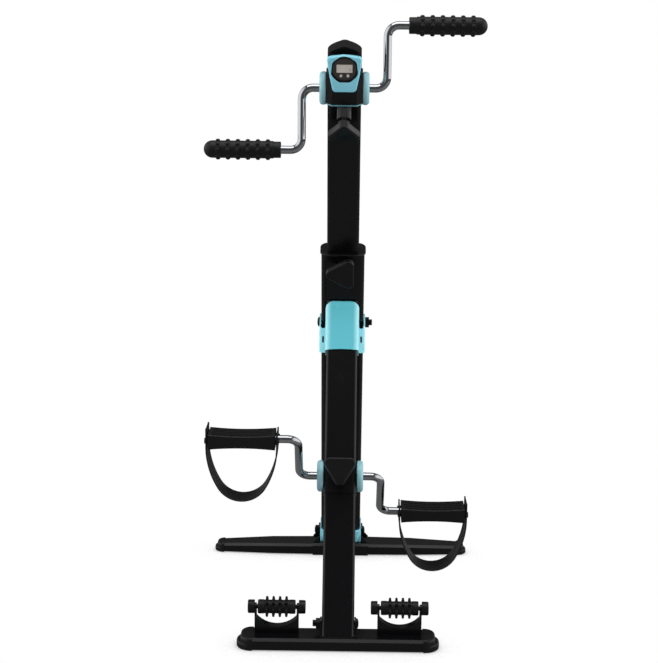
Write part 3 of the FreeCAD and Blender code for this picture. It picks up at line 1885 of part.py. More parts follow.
def build_frame():
    rear_foot()
    front_foot()
    foot_caps(
        "rear_foot_caps",
        size.rear_foot_length,
        size.rear_cap_length,
        size.rear_foot_end_depth,
        size.rear_foot_end_height,
        (size.rear_cap_length - size.foot_cap_proud, size.rear_cap_flange, size.rear_cap_step),
        size.rear_y,
    )
    foot_caps(
        "front_foot_caps",
        size.front_foot_length,
        size.front_cap_length,
        size.foot_depth,
        size.foot_height,
        (size.front_cap_corner, size.front_cap_flange, size.front_cap_step),
        size.front_y,
    )
    rear_foot_bracket()
    front_foot_bracket()
    rear_ears = size.tube_width / 2 + size.shoe_wall + size.gap + size.bracket_plate
    cross_bolt("rear_foot_bolt", rear_ears, size.rear_bolt_tip, places.member, "right")
    front_ears = size.leg_width / 2 + size.gap + size.bracket_plate
    cross_bolt("front_foot_bolt", front_ears, size.bolt_tip, places.leg, "right")
    hinge_ears = size.tube_width / 2 + size.gap + size.hinge_ear_plate
    hinge = places.member * shift(z=size.hinge_on_member)
    cross_bolt("hinge_bolt", hinge_ears, size.bolt_tip, hinge, "left")
    main_tube()
    sleeve_collar()
    rear_shoe()
    hinge_bush()
    front_leg()
    hinge_bracket()
    leg_hub()
    clamp = places.member * shift(z=size.clamp_station)
    stud_tip = size.column_depth / 2 + size.gap
    neck = size.tube_depth / 2 + size.clamp_boss_height + size.stud_shown
    knob("height_knob", stud_tip, neck, 180, clamp)


def build_head():
    mast()
    mast_guide()
    mast_cap()
    head_housing()
    head_rim()
    bezel()
    dial_ring()
    dial_face()
    lcd_panel()
    console_button("left_button", -1)
    console_button("right_button", 1)
    circuit_board()
    slanted = places.head * turn(X_AXIS, size.head_knob_angle.number)
    brake_pad("hand_brake_pad", slanted)
    stud_tip = size.drum_radius + size.running_gap + size.pad_length + size.slide_gap
    knob("hand_knob", stud_tip, size.head_boss_reach + size.stud_shown, 90, slanted)


def build_cranks():
    side = {"right": Placement(), "left": turn(Y_AXIS, 180)}
    disc_side = {"right": Placement(), "left": turn(Z_AXIS, 180)}
    head_disc_x = size.housing_width / 2
    hub_disc_x = size.leg_width / 2 + size.hub_wall + size.slide_gap
    crank_bushes(
        "head_bushes", head_disc_x, size.column_width / 2 - size.tube_wall, places.head
    )
    crank_bushes("leg_bushes", hub_disc_x, size.leg_width / 2 - size.tube_wall, places.hub)
    crank_drum("hand_drum", places.hand_crank)
    crank_drum("leg_drum", places.leg_crank)
    for name in ("left", "right"):
        disc_at = places.head * disc_side[name]
        crank_disc(f"{name}_head_disc", size.disc_radius, head_disc_x, disc_at)
        disc_at = places.hub * disc_side[name]
        crank_disc(f"{name}_leg_disc", size.leg_disc_radius, hub_disc_x, disc_at)
        crank_rod(f"{name}_hand_rod", size.hand_rod_reach, places.hand_crank * side[name])
        crank_rod(f"{name}_leg_rod", size.leg_rod_reach, places.leg_crank * side[name])
        throw = shift(z=size.crank_throw)
        grip(f"{name}_grip", places.hand_crank * side[name] * throw)
        build_pedal(name, places.leg_crank * side[name] * throw)
    brake_pad("leg_brake_pad", places.hub)
    stud_tip = size.drum_radius + size.running_gap + size.pad_length + size.slide_gap
    knob("leg_knob", stud_tip, size.hub_boss_reach + size.stud_shown, -90, places.hub)


def build_pedal(name, rod_end):
    """A pedal hangs level, whatever the angle of its crank arm."""
    centre = rod_end.multVec(Vector(size.pedal_centre.number, 0, 0))
    hanging = Placement(centre, Rotation(Z_AXIS, 0 if name == "right" else 180))
    pedal(f"{name}_pedal", hanging)
    strap(f"{name}_strap", hanging)


def build_rollers():
    half = size.roller_spacing / 2
    for name, x in (("left", -half), ("right", half)):
        base = shift(x=x, y=size.front_y + size.roller_setback)
        axis = base * shift(z=size.roller_axis_height)
        roller_cradle(f"{name}_roller_cradle", base)
        roller(f"{name}_roller", axis)
        roller_axle(f"{name}_roller_axle", axis)


def check_document():
    """Stop if an object failed or a piece isn't a valid solid."""
    for item in doc.Objects:
        if {"Invalid", "Error"} & set(item.State):
            raise RuntimeError(f"{item.Name} failed: {item.State}")
    for label, piece in pieces.items():
        if piece.Shape.isNull() or not piece.Shape.isValid() or not piece.Shape.Solids:
            raise RuntimeError(f"{label} is not a valid solid")


def export():
    os.makedirs("parts", exist_ok=True)
    for label, piece in pieces.items():
        piece.Shape.exportStep(f"parts/{label}.step")
        print(label, len(piece.Shape.Solids), round(piece.Shape.Volume))


places = solve_frame()
places.head = places.member * shift(z=size.head_station)
places.hub = places.leg * shift(z=size.hub_station)
places.hand_crank = Placement(places.head.Base, Rotation())
places.leg_crank = Placement(
    places.hub.Base, Rotation(X_AXIS, 180 + size.leg_crank_lean.number)
)
doc.recompute()
build_frame()
build_head()
build_cranks()
build_rollers()
doc.recompute()
check_document()
export()
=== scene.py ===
# %% [markdown]
# # Arm and leg pedal exerciser
# The rigid model comes in packed and finished. This notebook gives it what a camera sees: paint,
# chrome and rubber, the foot straps, the studded grips and rollers, and a plain studio.

import json
import math

import bmesh
import bpy
from mathutils import Matrix, Vector


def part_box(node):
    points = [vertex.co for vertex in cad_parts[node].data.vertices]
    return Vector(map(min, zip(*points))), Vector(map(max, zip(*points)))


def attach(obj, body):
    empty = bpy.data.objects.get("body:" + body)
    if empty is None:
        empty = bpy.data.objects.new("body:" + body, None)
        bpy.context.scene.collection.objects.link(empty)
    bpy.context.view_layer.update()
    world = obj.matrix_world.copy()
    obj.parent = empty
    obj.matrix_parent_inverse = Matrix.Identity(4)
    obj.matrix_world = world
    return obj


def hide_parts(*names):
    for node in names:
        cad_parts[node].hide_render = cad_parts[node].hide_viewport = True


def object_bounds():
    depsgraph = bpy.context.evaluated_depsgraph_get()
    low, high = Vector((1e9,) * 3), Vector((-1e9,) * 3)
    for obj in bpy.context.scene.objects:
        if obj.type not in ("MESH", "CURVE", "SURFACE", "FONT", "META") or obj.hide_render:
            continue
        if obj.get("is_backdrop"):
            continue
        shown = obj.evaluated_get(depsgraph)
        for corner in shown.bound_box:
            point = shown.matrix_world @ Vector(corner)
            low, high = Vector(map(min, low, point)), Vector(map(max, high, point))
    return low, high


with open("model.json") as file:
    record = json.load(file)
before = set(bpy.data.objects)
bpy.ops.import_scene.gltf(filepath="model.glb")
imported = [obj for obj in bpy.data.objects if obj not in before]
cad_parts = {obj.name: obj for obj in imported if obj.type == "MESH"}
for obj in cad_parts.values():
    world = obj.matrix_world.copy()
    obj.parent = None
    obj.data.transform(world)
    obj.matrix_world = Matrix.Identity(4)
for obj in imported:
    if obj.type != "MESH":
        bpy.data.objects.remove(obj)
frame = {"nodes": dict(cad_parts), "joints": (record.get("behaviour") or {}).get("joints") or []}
cad_box = [list(corner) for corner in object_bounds()]
joints = {joint["name"]: joint for joint in frame["joints"]}
SIDES = (("left", -1), ("right", 1))
MM = 0.001
print("CAD box", [round(value, 4) for corner in cad_box for value in corner])

# %% [markdown]
# ## The camera
# The photograph was taken from about two and a half metres, a little above the machine and looking
# slightly down at it. A lens of that length keeps the tubes nearly parallel. A constraint could aim
# the camera, but it can't hold the slight roll, so the camera's three axes are worked out from its
# angles. Its distance counts from a point near the middle between the two feet.

# %% Camera
IMAGE_WIDTH_PX = 658
FOCAL_PX = 1535.2
VIEW_OFFSET_PX = 13.1
CAMERA_DISTANCE = 2.451
CAMERA_HEIGHT = 0.9565
TARGET_BEHIND_MIDDLE = 0.0025
PITCH_DOWN = math.radians(11.63)
YAW = math.radians(0.35)
ROLL = math.radians(0.64)
SENSOR_MM = 36.0


def box_middle(name):
    low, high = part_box(name)
    return (low + high) / 2


feet_middle_y = (box_middle("front_foot").y + box_middle("rear_foot").y) / 2
forward = Vector((
    -math.sin(YAW) * math.cos(PITCH_DOWN),
    math.cos(YAW) * math.cos(PITCH_DOWN),
    -math.sin(PITCH_DOWN),
))
level_right = Vector((math.cos(YAW), math.sin(YAW), 0))
level_up = level_right.cross(forward)
right = level_right * math.cos(ROLL) + level_up * math.sin(ROLL)
up = level_up * math.cos(ROLL) - level_right * math.sin(ROLL)

camera_data = bpy.data.cameras.new("studio_camera")
camera_data.sensor_fit = "HORIZONTAL"
camera_data.sensor_width = SENSOR_MM
camera_data.lens = SENSOR_MM * FOCAL_PX / IMAGE_WIDTH_PX
camera_data.shift_x = -VIEW_OFFSET_PX * math.cos(ROLL) / IMAGE_WIDTH_PX
camera_data.shift_y = VIEW_OFFSET_PX * math.sin(ROLL) / IMAGE_WIDTH_PX
camera = bpy.data.objects.new("studio_camera", camera_data)
bpy.context.scene.collection.objects.link(camera)
camera.matrix_world = Matrix((right, up, -forward)).transposed().to_4x4()
camera.location = (
    CAMERA_DISTANCE * math.sin(YAW),
    feet_middle_y + TARGET_BEHIND_MIDDLE - CAMERA_DISTANCE * math.cos(YAW),
    CAMERA_HEIGHT,
)
bpy.context.scene.camera = camera
print("lens", round(camera_data.lens, 1), "mm")

# %% [markdown]
# ## Colours and nodes
# Colours are written the way a paint chart or a web page gives them, as sRGB hex. Blender mixes
# light in linear values, so one function turns them. Another adds a shader node with its settings
# and its links, and every material below is built with it.

# %% Colour and node helpers


def colour(hex_code):
    """A linear RGBA colour from sRGB hex, by the sRGB standard's own curve."""
    channels = [int(hex_code[i : i + 2], 16) / 255 for i in (1, 3, 5)]
    linear = [c / 12.92 if c <= 0.04045 else ((c + 0.055) / 1.055) ** 2.4 for c in channels]
    return (*linear, 1.0)


def add(tree, kind, inputs=None, **settings):
    """Add a node, set its properties, and set or link its inputs."""
    node = tree.nodes.new(kind)
    for name, value in settings.items():
        setattr(node, name, value)
    for name, value in (inputs or {}).items():
        if isinstance(value, bpy.types.NodeSocket):
            tree.links.new(value, node.inputs[name])
        else:
            node.inputs[name].default_value = value
    return node


def new_material(name):
    """An empty material, its node tree and its Object coordinates."""
    material = bpy.data.materials.new(name)
    material.use_nodes = True
    tree = material.node_tree
    tree.nodes.clear()
    place = add(tree, "ShaderNodeTexCoord").outputs["Object"]
    return material, tree, place


def per_metre(size_mm):
    """The texture scale that draws a pattern this many millimetres across."""
    return 1 / (size_mm * MM)


def finish_material(tree, shader):
    add(tree, "ShaderNodeOutputMaterial", {"Surface": shader.outputs[0]})


# %% [markdown]
# ## Surfaces
# A moulded or sprayed surface is never one flat colour. Three things make it read as real: a fine
# relief from the mould or the spray, patches where it is a little duller from handling, and a
# slight drift in colour. Painted images could hold them, but noise nodes need no files and keep
# their size in millimetres on every piece. One function gives all three to a Principled shader.

# %% A finished surface
PATCH_MM = 60
PATCH_DETAIL = 4.0
PATCH_LOW, PATCH_HIGH = 0.3, 0.7
GRAIN_DETAIL = 2.0
GRAIN_DEPTH = 0.3 * MM
LOWEST_ROUGHNESS = 0.02


def surface(name, hex_code, roughness, relief_mm, relief, drift=0.04, duller=0.04, **shader):
    """A material with a fine relief, handled patches and a slight drift in colour.

    relief_mm is how wide the grain of the relief is, and relief how strong it is, up to 1. drift
    is the share by which the colour wanders, and duller how far the roughness does.
    """
    material, tree, place = new_material(name)
    patches = add(
        tree,
        "ShaderNodeTexNoise",
        {"Vector": place, "Scale": per_metre(PATCH_MM), "Detail": PATCH_DETAIL},
    )
    grain = add(
        tree,
        "ShaderNodeTexNoise",
        {"Vector": place, "Scale": per_metre(relief_mm), "Detail": GRAIN_DETAIL},
    )
    base = colour(hex_code)
    tint = add(
        tree,
        "ShaderNodeMix",
        {
            "Factor": patches.outputs["Fac"],
            "A": tuple(c * (1 - drift) for c in base[:3]) + (1.0,),
            "B": tuple(min(c * (1 + drift), 1) for c in base[:3]) + (1.0,),
        },
        data_type="RGBA",
    )
    dull = add(
        tree,
        "ShaderNodeMapRange",
        {
            "Value": patches.outputs["Fac"],
            "From Min": PATCH_LOW,
            "From Max": PATCH_HIGH,
            "To Min": max(roughness - duller / 2, LOWEST_ROUGHNESS),
            "To Max": roughness + duller / 2,
        },
    )
    bump = add(
        tree,
        "ShaderNodeBump",
        {"Height": grain.outputs["Fac"], "Strength": relief, "Distance": GRAIN_DEPTH},
    )
    principled = add(
        tree,
        "ShaderNodeBsdfPrincipled",
        {
            "Base Color": tint.outputs["Result"],
            "Roughness": dull.outputs["Result"],
            "Normal": bump.outputs["Normal"],
            **shader,
        },
    )
    finish_material(tree, principled)
    return material


# %% [markdown]
# ## The finishes
# The tubes are steel, sprayed with polyester powder and baked, which flows into a glossy skin with
# a faint orange peel. The blue parts match, some painted and some moulded. Grips, straps and
# rollers are rubber, which hardly shines, and the crank rods are nickel-chrome plate. Each could
# have a node tree of its own, but one line each makes them easy to compare: the common name, the
# colour, the roughness, the grain of the relief in millimetres and the relief's strength.

# %% Paints
# In a white room a black surface with the full shine of a clear lacquer would look grey, so the
# black finishes have a lower specular level than the usual 0.5.
LOW_SHINE = {"Specular IOR Level": 0.34}

# Powder coat gives the eye a deep colour, and an orange peel that only the highlights show.
black_powder = surface(
    "black polyester powder coat", "#08080a", 0.26, 1.4, 0.12, IOR=1.5, **LOW_SHINE
)
blue_powder = surface(
    "turquoise polyester powder coat", "#5bb6c3", 0.27, 1.4, 0.08,
    drift=0.02, duller=0.02, IOR=1.5,
)

# %% Plastics
# Moulded ABS has softer highlights than paint, from the fine texture of its mould.
blue_abs = surface("turquoise moulded ABS", "#7cc4d6", 0.4, 0.9, 0.1, IOR=1.54)
cover_abs = surface("pale turquoise ABS covers", "#85b4bc", 0.36, 0.9, 0.1, IOR=1.54)
black_abs = surface("black moulded ABS", "#0a0a0b", 0.34, 0.8, 0.15, IOR=1.5, **LOW_SHINE)
# Glass-filled nylon is duller and coarser, because fibres near its skin break up the shine.
black_nylon = surface(
    "black glass-filled nylon", "#0b0b0c", 0.44, 0.7, 0.3, IOR=1.5, **LOW_SHINE
)
# The counter's dial, its buttons and the rim under the housing are smooth, even ABS.
dial_abs = surface(
    "dark grey gloss ABS dial", "#3a3634", 0.3, 0.8, 0.05, IOR=1.5, **LOW_SHINE
)
pale_abs = surface("pale grey moulded ABS", "#b9b8b6", 0.4, 0.8, 0.1, IOR=1.54)
seam_blue = surface("turquoise rim under the housing", "#5f95a0", 0.4, 0.8, 0.1, IOR=1.54)
# Solder mask is a thin green lacquer with a slight shine.
board_mask = surface("green solder mask", "#12442a", 0.35, 0.6, 0.1, IOR=1.5)
print(len(bpy.data.materials), "paints and plastics")

# %% [markdown]
# The hinge bracket's folds and side plates are painted paler than the middle of its tongue, as a
# painted highlight for the side lamps' light on them. A second material would leave a hard line
# between the two, and the bracket is one painted piece with no seam there. So one material blends
# from the deeper colour to the paler one, by the distance from the machine's middle plane.

# %% Painted highlight on the sides of the hinge bracket
SIDE_HIGHLIGHT_FROM = 17 * MM
SIDE_HIGHLIGHT_UP_TO = 24 * MM
SIDE_HIGHLIGHT_SHARE = 0.75


def paint_side_highlight(material, hex_code):
    """Blend a material's colour to a paler one away from the middle plane, as a painted highlight.
    """
    tree = material.node_tree
    shader = next(n for n in tree.nodes if n.bl_idname == "ShaderNodeBsdfPrincipled")
    place = add(tree, "ShaderNodeTexCoord").outputs["Object"]
    axes = add(tree, "ShaderNodeSeparateXYZ", {"Vector": place}).outputs
    aside = add(tree, "ShaderNodeMath", {0: axes["X"]}, operation="ABSOLUTE")
    share = add(
        tree,
        "ShaderNodeMapRange",
        {
            "Value": aside.outputs[0],
            "From Min": SIDE_HIGHLIGHT_FROM,
            "From Max": SIDE_HIGHLIGHT_UP_TO,
            "To Max": SIDE_HIGHLIGHT_SHARE,
        },
        interpolation_type="SMOOTHSTEP",
    )
    deeper = shader.inputs["Base Color"].links[0].from_socket
    blend = add(
        tree,
        "ShaderNodeMix",
        {"Factor": share.outputs["Result"], "A": deeper, "B": colour(hex_code)},
        data_type="RGBA",
    )
    tree.links.new(blend.outputs["Result"], shader.inputs["Base Color"])


# The paler colour is a painted highlight for the side lamps' light on the folds and side plates.
paint_side_highlight(blue_powder, "#a3dde6")

# %% Rubbers
# Moulded rubber shows no clear reflection, only a soft sheen broken up by the mould's texture.
grip_rubber = surface(
    "black moulded grip rubber", "#0c0c0d", 0.5, 0.6, 0.35, IOR=1.5, **LOW_SHINE
)
strap_rubber = surface(
    "black injection-moulded strap rubber", "#101011", 0.48, 0.7, 0.3, IOR=1.5, **LOW_SHINE
)

# %% Metals
# Chrome plate is a mirror, with just enough ripple to soften the lines of the room in it.
chrome = surface(
    "bright chrome plate on steel", "#babcbf", 0.07, 2.0, 0.003,
    drift=0.02, duller=0.02, Metallic=1.0,
)
# Black oxide is so thin that the steel still glints through it.
black_oxide = surface(
    "black oxide on bolt steel", "#1a1a1c", 0.38, 0.5, 0.2, drift=0.1, Metallic=0.8
)
# Sintered bronze is pressed from grains, which leaves it warm and dull.
bush_bronze = surface("sintered bronze bush", "#8a6a45", 0.4, 0.4, 0.3, Metallic=1.0)
print(len(bpy.data.materials), "finishes with the rubbers and metals")

# %% [markdown]
# The display is a liquid crystal cell: a warm grey film behind a thin clear layer. It has almost
# no relief, so it gets its own short material, with a gentle shade across the film.

# %% Display film
FILM_SHADE_MM = 15
FILM_ROUGHNESS = 0.22
FILM_DEEPER, FILM_PALER = "#b8b0a9", "#c8c1ba"
lcd_film, lcd_tree, lcd_place = new_material("liquid crystal display film")
lcd_drift = add(
    lcd_tree,
    "ShaderNodeTexNoise",
    {"Vector": lcd_place, "Scale": per_metre(FILM_SHADE_MM), "Detail": GRAIN_DETAIL},
)
lcd_tint = add(
    lcd_tree,
    "ShaderNodeMix",
    {"Factor": lcd_drift.outputs["Fac"], "A": colour(FILM_DEEPER), "B": colour(FILM_PALER)},
    data_type="RGBA",
)
lcd_cell = add(
    lcd_tree,
    "ShaderNodeBsdfPrincipled",
    {"Base Color": lcd_tint.outputs["Result"], "Roughness": FILM_ROUGHNESS, "IOR": 1.5},
)
finish_material(lcd_tree, lcd_cell)
print(lcd_film.name, "from", FILM_DEEPER, "to", FILM_PALER)

# %% [markdown]
# ## Dress the rigid pieces
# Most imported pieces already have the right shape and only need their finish. Each could be dressed
# beside its own notes, but one list by what the pieces are made of shows at once that none is
# missing. The few that later cells replace are on it too.

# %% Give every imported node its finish
FINISHES = {
    black_powder: [
        "rear_foot", "front_foot", "rear_foot_bracket", "front_foot_bracket", "main_tube",
        "front_leg", "mast", "left_roller_cradle", "right_roller_cradle",
    ],
    blue_powder: ["hinge_bracket"],
    blue_abs: [
        "rear_shoe", "console_bezel", "left_head_disc", "right_head_disc",
        "left_leg_disc", "right_leg_disc",
    ],
    black_abs: [
        "mast_cap", "head_housing", "leg_hub", "dial_ring", "sleeve_collar", "height_knob",
        "hand_knob", "leg_knob",
    ],
    black_nylon: [
        "rear_foot_caps", "front_foot_caps", "left_pedal", "right_pedal", "left_roller_axle",
        "right_roller_axle", "mast_guide", "hand_brake_pad", "leg_brake_pad",
    ],
    dial_abs: ["dial_face"],
    lcd_film: ["lcd_panel"],
    pale_abs: ["left_button", "right_button"],
    seam_blue: ["head_rim"],
    board_mask: ["circuit_board"],
    grip_rubber: ["left_grip", "right_grip", "left_roller", "right_roller"],
    strap_rubber: ["left_strap", "right_strap"],
    chrome: [
        "left_hand_rod", "right_hand_rod", "left_leg_rod", "right_leg_rod",
        "height_knob_stud", "hand_knob_stud", "leg_knob_stud",
    ],
    black_oxide: [
        "rear_foot_bolt", "front_foot_bolt", "hinge_bolt", "hinge_bush", "hand_drum", "leg_drum",
    ],
    bush_bronze: ["head_bushes", "leg_bushes"],
}
dressed = set()
for material, names in FINISHES.items():
    for name in names:
        mesh = frame["nodes"][name].data
        mesh.materials.clear()
        mesh.materials.append(material)
        dressed.add(name)
print(len(dressed), "nodes dressed,", sorted(set(frame["nodes"]) - dressed), "left bare")

# %% [markdown]
# ## The studio
# The machine stands on a white sweep under large soft lamps, and the camera sees nothing behind it
# but white. A product photographer hangs dark cloth before and behind a glossy black machine and
# keeps white walls at its sides: flat faces then stay deep black, while every rounded edge and
# every chromed rod picks up a thin bright line from the walls. Walls and cloth could be real
# sheets, but then they would stand in the way of other views, so the world plays both. The light
# path node shows the white backdrop only to rays that reach the camera, and walls and cloth only
# to rays that bounce off something shiny, so neither adds to the soft light on the object.

# %% White backdrop
FILL_STRENGTH = 0.3
CLOTH_STRENGTH = 0.1
WALL_STRENGTH = 1.3
CLOTH_ENDS, WALLS_BEGIN = 0.45, 0.8
world = bpy.data.worlds.new("white studio")
bpy.context.scene.world = world
world.use_nodes = True
sky = world.node_tree
sky.nodes.clear()
rays = add(sky, "ShaderNodeLightPath")
shiny = add(
    sky,
    "ShaderNodeMath",
    {0: rays.outputs["Is Glossy Ray"], 1: rays.outputs["Is Transmission Ray"]},
    operation="MAXIMUM",
)
way = add(sky, "ShaderNodeTexCoord").outputs["Generated"]
way_parts = add(sky, "ShaderNodeSeparateXYZ", {"Vector": way}).outputs
sideways = add(sky, "ShaderNodeMath", {0: way_parts["X"]}, operation="ABSOLUTE")
walls = add(
    sky,
    "ShaderNodeMapRange",
    {
        "Value": sideways.outputs[0],
        "From Min": CLOTH_ENDS,
        "From Max": WALLS_BEGIN,
        "To Min": CLOTH_STRENGTH,
        "To Max": WALL_STRENGTH,
    },
    interpolation_type="SMOOTHSTEP",
)
dim_or_shiny = add(
    sky,
    "ShaderNodeMix",
    {"Factor": shiny.outputs[0], "A": FILL_STRENGTH, "B": walls.outputs["Result"]},
    data_type="FLOAT",
)
seen = add(
    sky,
    "ShaderNodeMix",
    {"Factor": rays.outputs["Is Camera Ray"], "A": dim_or_shiny.outputs["Result"], "B": 1.0},
    data_type="FLOAT",
)
glow = add(sky, "ShaderNodeBackground", {"Color": colour("#ffffff"), "Strength": seen.outputs[0]})
add(sky, "ShaderNodeOutputWorld", {"Surface": glow.outputs[0]})
print("walls", WALL_STRENGTH, "and cloth", CLOTH_STRENGTH, "in the gloss")

# %% [markdown]
# ## The floor
# Of the paper under the machine, the photograph keeps only a soft shadow about the feet. The paper
# could be seen everywhere, but then it would hide the front foot when the frame is folded down
# past it. So the camera sees the paper only where ambient occlusion finds the machine close by,
# and it fades out from there. All other rays still meet the whole sheet, which lights the machine
# from below and takes its shadow, and shiny surfaces see it a little darker.

# %% Floor
FLOOR_HALF = 6.0
floor_mesh = bpy.data.meshes.new("studio_floor")
floor_mesh.from_pydata(
    [(x * FLOOR_HALF, y * FLOOR_HALF, 0) for x, y in ((-1, -1), (1, -1), (1, 1), (-1, 1))],
    [],
    [(0, 1, 2, 3)],
)
floor = bpy.data.objects.new("studio_floor", floor_mesh)
bpy.context.scene.collection.objects.link(floor)
floor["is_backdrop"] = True
print("floor", 2 * FLOOR_HALF, "m wide")

# %% Paper
PAPER_LIT, PAPER_IN_GLOSS = "#aaaaaa", "#747474"
FIBRE_MM = 3
FIBRE_DETAIL = 3.0
FIBRE_RELIEF = 0.05
FLOOR_LIFT = 0.4
paper, paper_tree, paper_place = new_material("white paper sweep")
paper_fibre = add(
    paper_tree,
    "ShaderNodeTexNoise",
    {"Vector": paper_place, "Scale": per_metre(FIBRE_MM), "Detail": FIBRE_DETAIL},
)
paper_bump = add(
    paper_tree,
    "ShaderNodeBump",
    {"Height": paper_fibre.outputs["Fac"], "Strength": FIBRE_RELIEF},
)
paper_rays = add(paper_tree, "ShaderNodeLightPath").outputs
paper_colour = add(
    paper_tree,
    "ShaderNodeMix",
    {
        "Factor": paper_rays["Is Glossy Ray"],
        "A": colour(PAPER_LIT),
        "B": colour(PAPER_IN_GLOSS),
    },
    data_type="RGBA",
)
paper_diffuse = add(
    paper_tree,
    "ShaderNodeBsdfDiffuse",
    {"Color": paper_colour.outputs["Result"], "Normal": paper_bump.outputs["Normal"]},
)
# The camera gets a little extra light from the sheet, so that the shadow stays a pale grey.
paper_lift = add(
    paper_tree,
    "ShaderNodeMath",
    {0: paper_rays["Is Camera Ray"], 1: FLOOR_LIFT},
    operation="MULTIPLY",
)
paper_glow = add(
    paper_tree,
    "ShaderNodeEmission",
    {"Color": colour("#ffffff"), "Strength": paper_lift.outputs[0]},
)
paper_near = add(
    paper_tree, "ShaderNodeAddShader", {0: paper_diffuse.outputs[0], 1: paper_glow.outputs[0]}
)

# %% Contact shadow
SHADOW_REACH = 0.045
SHADOW_CORE = 0.6
SHADOW_SAMPLES = 8
paper_touch = add(
    paper_tree,
    "ShaderNodeAmbientOcclusion",
    {"Distance": SHADOW_REACH},
    samples=SHADOW_SAMPLES,
)
paper_fade = add(
    paper_tree,
    "ShaderNodeMapRange",
    {"Value": paper_touch.outputs["AO"], "From Min": SHADOW_CORE, "From Max": 1.0},
    interpolation_type="SMOOTHSTEP",
)
paper_seen = add(
    paper_tree,
    "ShaderNodeMath",
    {0: paper_rays["Is Camera Ray"], 1: paper_fade.outputs["Result"]},
    operation="MULTIPLY",
)
paper_clear = add(paper_tree, "ShaderNodeBsdfTransparent", {"Color": colour("#ffffff")})
paper_both = add(
    paper_tree,
    "ShaderNodeMixShader",
    {0: paper_seen.outputs[0], 1: paper_near.outputs[0], 2: paper_clear.outputs[0]},
)
finish_material(paper_tree, paper_both)
floor_mesh.materials.append(paper)
print("contact shadow within", round(SHADOW_REACH / MM), "mm of the machine")

# %% [markdown]
# ## The softboxes
# A broad box overhead gives the soft light from above. Tall ones left and right light the bends and
# corners more than the flat fronts, and a weak one in front fills. In chrome and gloss paint their
# images would burn out to plain white, so all but the top one are hidden from shiny surfaces, and
# the walls draw the bright lines there instead.

# %% Softboxes
AIM = Vector((0, 0, 0.5))
# Each has its name, place, width, height and watts, and whether shiny surfaces see it.
SOFTBOXES = [
    ("top_softbox", (0, -0.3, 3.2), 2.6, 2.6, 44, True),
    ("left_softbox", (-2.8, -0.55, 1.3), 0.9, 2.2, 74, False),
    ("right_softbox", (2.8, -0.55, 1.3), 0.9, 2.2, 74, False),
    ("front_softbox", (0.2, -3.6, 1.3), 2.2, 1.2, 26, False),
]
for name, place, width, height, watts, in_gloss in SOFTBOXES:
    lamp_data = bpy.data.lights.new(name, "AREA")
    lamp_data.shape = "RECTANGLE"
    lamp_data.size = width
    lamp_data.size_y = height
    lamp_data.energy = watts
    lamp = bpy.data.objects.new(name, lamp_data)
    bpy.context.scene.collection.objects.link(lamp)
    lamp.location = place
    lamp.rotation_euler = (AIM - Vector(place)).to_track_quat("-Z", "Y").to_euler()
    lamp.visible_glossy = in_gloss
print(len(SOFTBOXES), "softboxes,", sum(watts for *_, watts, _ in SOFTBOXES), "W together")

bpy.context.scene.view_settings.view_transform = "Standard"

# %% [markdown]
# ## Turned and lofted pieces
# Most moulded pieces of this machine are either turned shapes or a rounded outline with depth. Both
# can be made as rings of points with a skin between them, which keeps the faces in clean strips and
# the edges' rounding exact. Pieces repeated by Geometry Nodes are settled into plain meshes.

# %% Make a plain mesh from rings or from a modifier's result


def link_mesh(name, mesh):
    piece = bpy.data.objects.new(name, mesh)
    bpy.context.scene.collection.objects.link(piece)
    return piece


def settle(piece):
    """Replace a piece's mesh by what its modifiers make, and remove them."""
    bpy.context.view_layer.update()
    graph = bpy.context.evaluated_depsgraph_get()
    mesh = bpy.data.meshes.new_from_object(piece.evaluated_get(graph))
    piece.modifiers.clear()
    piece.data = mesh
    mesh.name = piece.name
    return piece


def smooth(mesh, angle=40):
    """Smooth shading except over edges sharper than the angle."""
    mesh.shade_smooth()
    mesh.set_sharp_from_angle(angle=math.radians(angle))


def skin(name, rings, sharp=40):
    """A mesh through rings of points. One point is a pole, and the first ring again closes it."""
    mesh = bpy.data.meshes.new(name)
    shape = bmesh.new()
    loops = []
    for ring in rings:
        closing = loops and ring == rings[0]
        loops.append(loops[0] if closing else [shape.verts.new(point) for point in ring])
    for near, far in zip(loops, loops[1:]):
        count = max(len(near), len(far))
        for i in range(count):
            j = (i + 1) % count
            ends = (near[i % len(near)], far[i % len(far)], far[j % len(far)], near[j % len(near)])
            shape.faces.new(dict.fromkeys(ends))
    bmesh.ops.recalc_face_normals(shape, faces=shape.faces)
    shape.to_mesh(mesh)
    shape.free()
    smooth(mesh, sharp)
    return mesh


def turned(name, profile, segments=48, sharp=40):
    """A closed body of revolution about X from points (x, radius); radius 0 is a pole."""
    angles = [2 * math.pi * i / segments for i in range(segments)]
    rings = []
    for x, radius in profile:
        ring = [(x, radius * math.cos(a), radius * math.sin(a)) for a in angles]
        rings.append(ring if radius else [(x, 0, 0)])
    return skin(name, rings, sharp)


def arc_profile(centre_x, centre_r, radius, start, end, steps=8):
    """Points (x, radius) along an arc of a profile, from one angle in degrees to another."""
    points = []
    for i in range(steps + 1):
        angle = math.radians(start + (end - start) * i / steps)
        points.append((centre_x + radius * math.cos(angle), centre_r + radius * math.sin(angle)))
    return points


# %% [markdown]
# ## The bearing covers
# Four moulded covers hide the cranks' bearings. Their outer edge is fully rounded and a shallow
# dish surrounds the rod. A bevelled cylinder would come near, but one profile turned about the
# crank's axis holds the dish and both edges in a few numbers. Covers and grips both stand outwards
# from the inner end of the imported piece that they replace, so they share the step that puts them
# there.

# %% Bearing covers
COVER_EDGE = 5 * MM
COVER_BACK_EDGE = 2.5 * MM
COVER_BORE = 6.9 * MM
DISH_DEPTH = 1.5 * MM
DISH_RADIUS = 13 * MM
COVER_SEGMENTS = 96
COVER_SHARP = 50


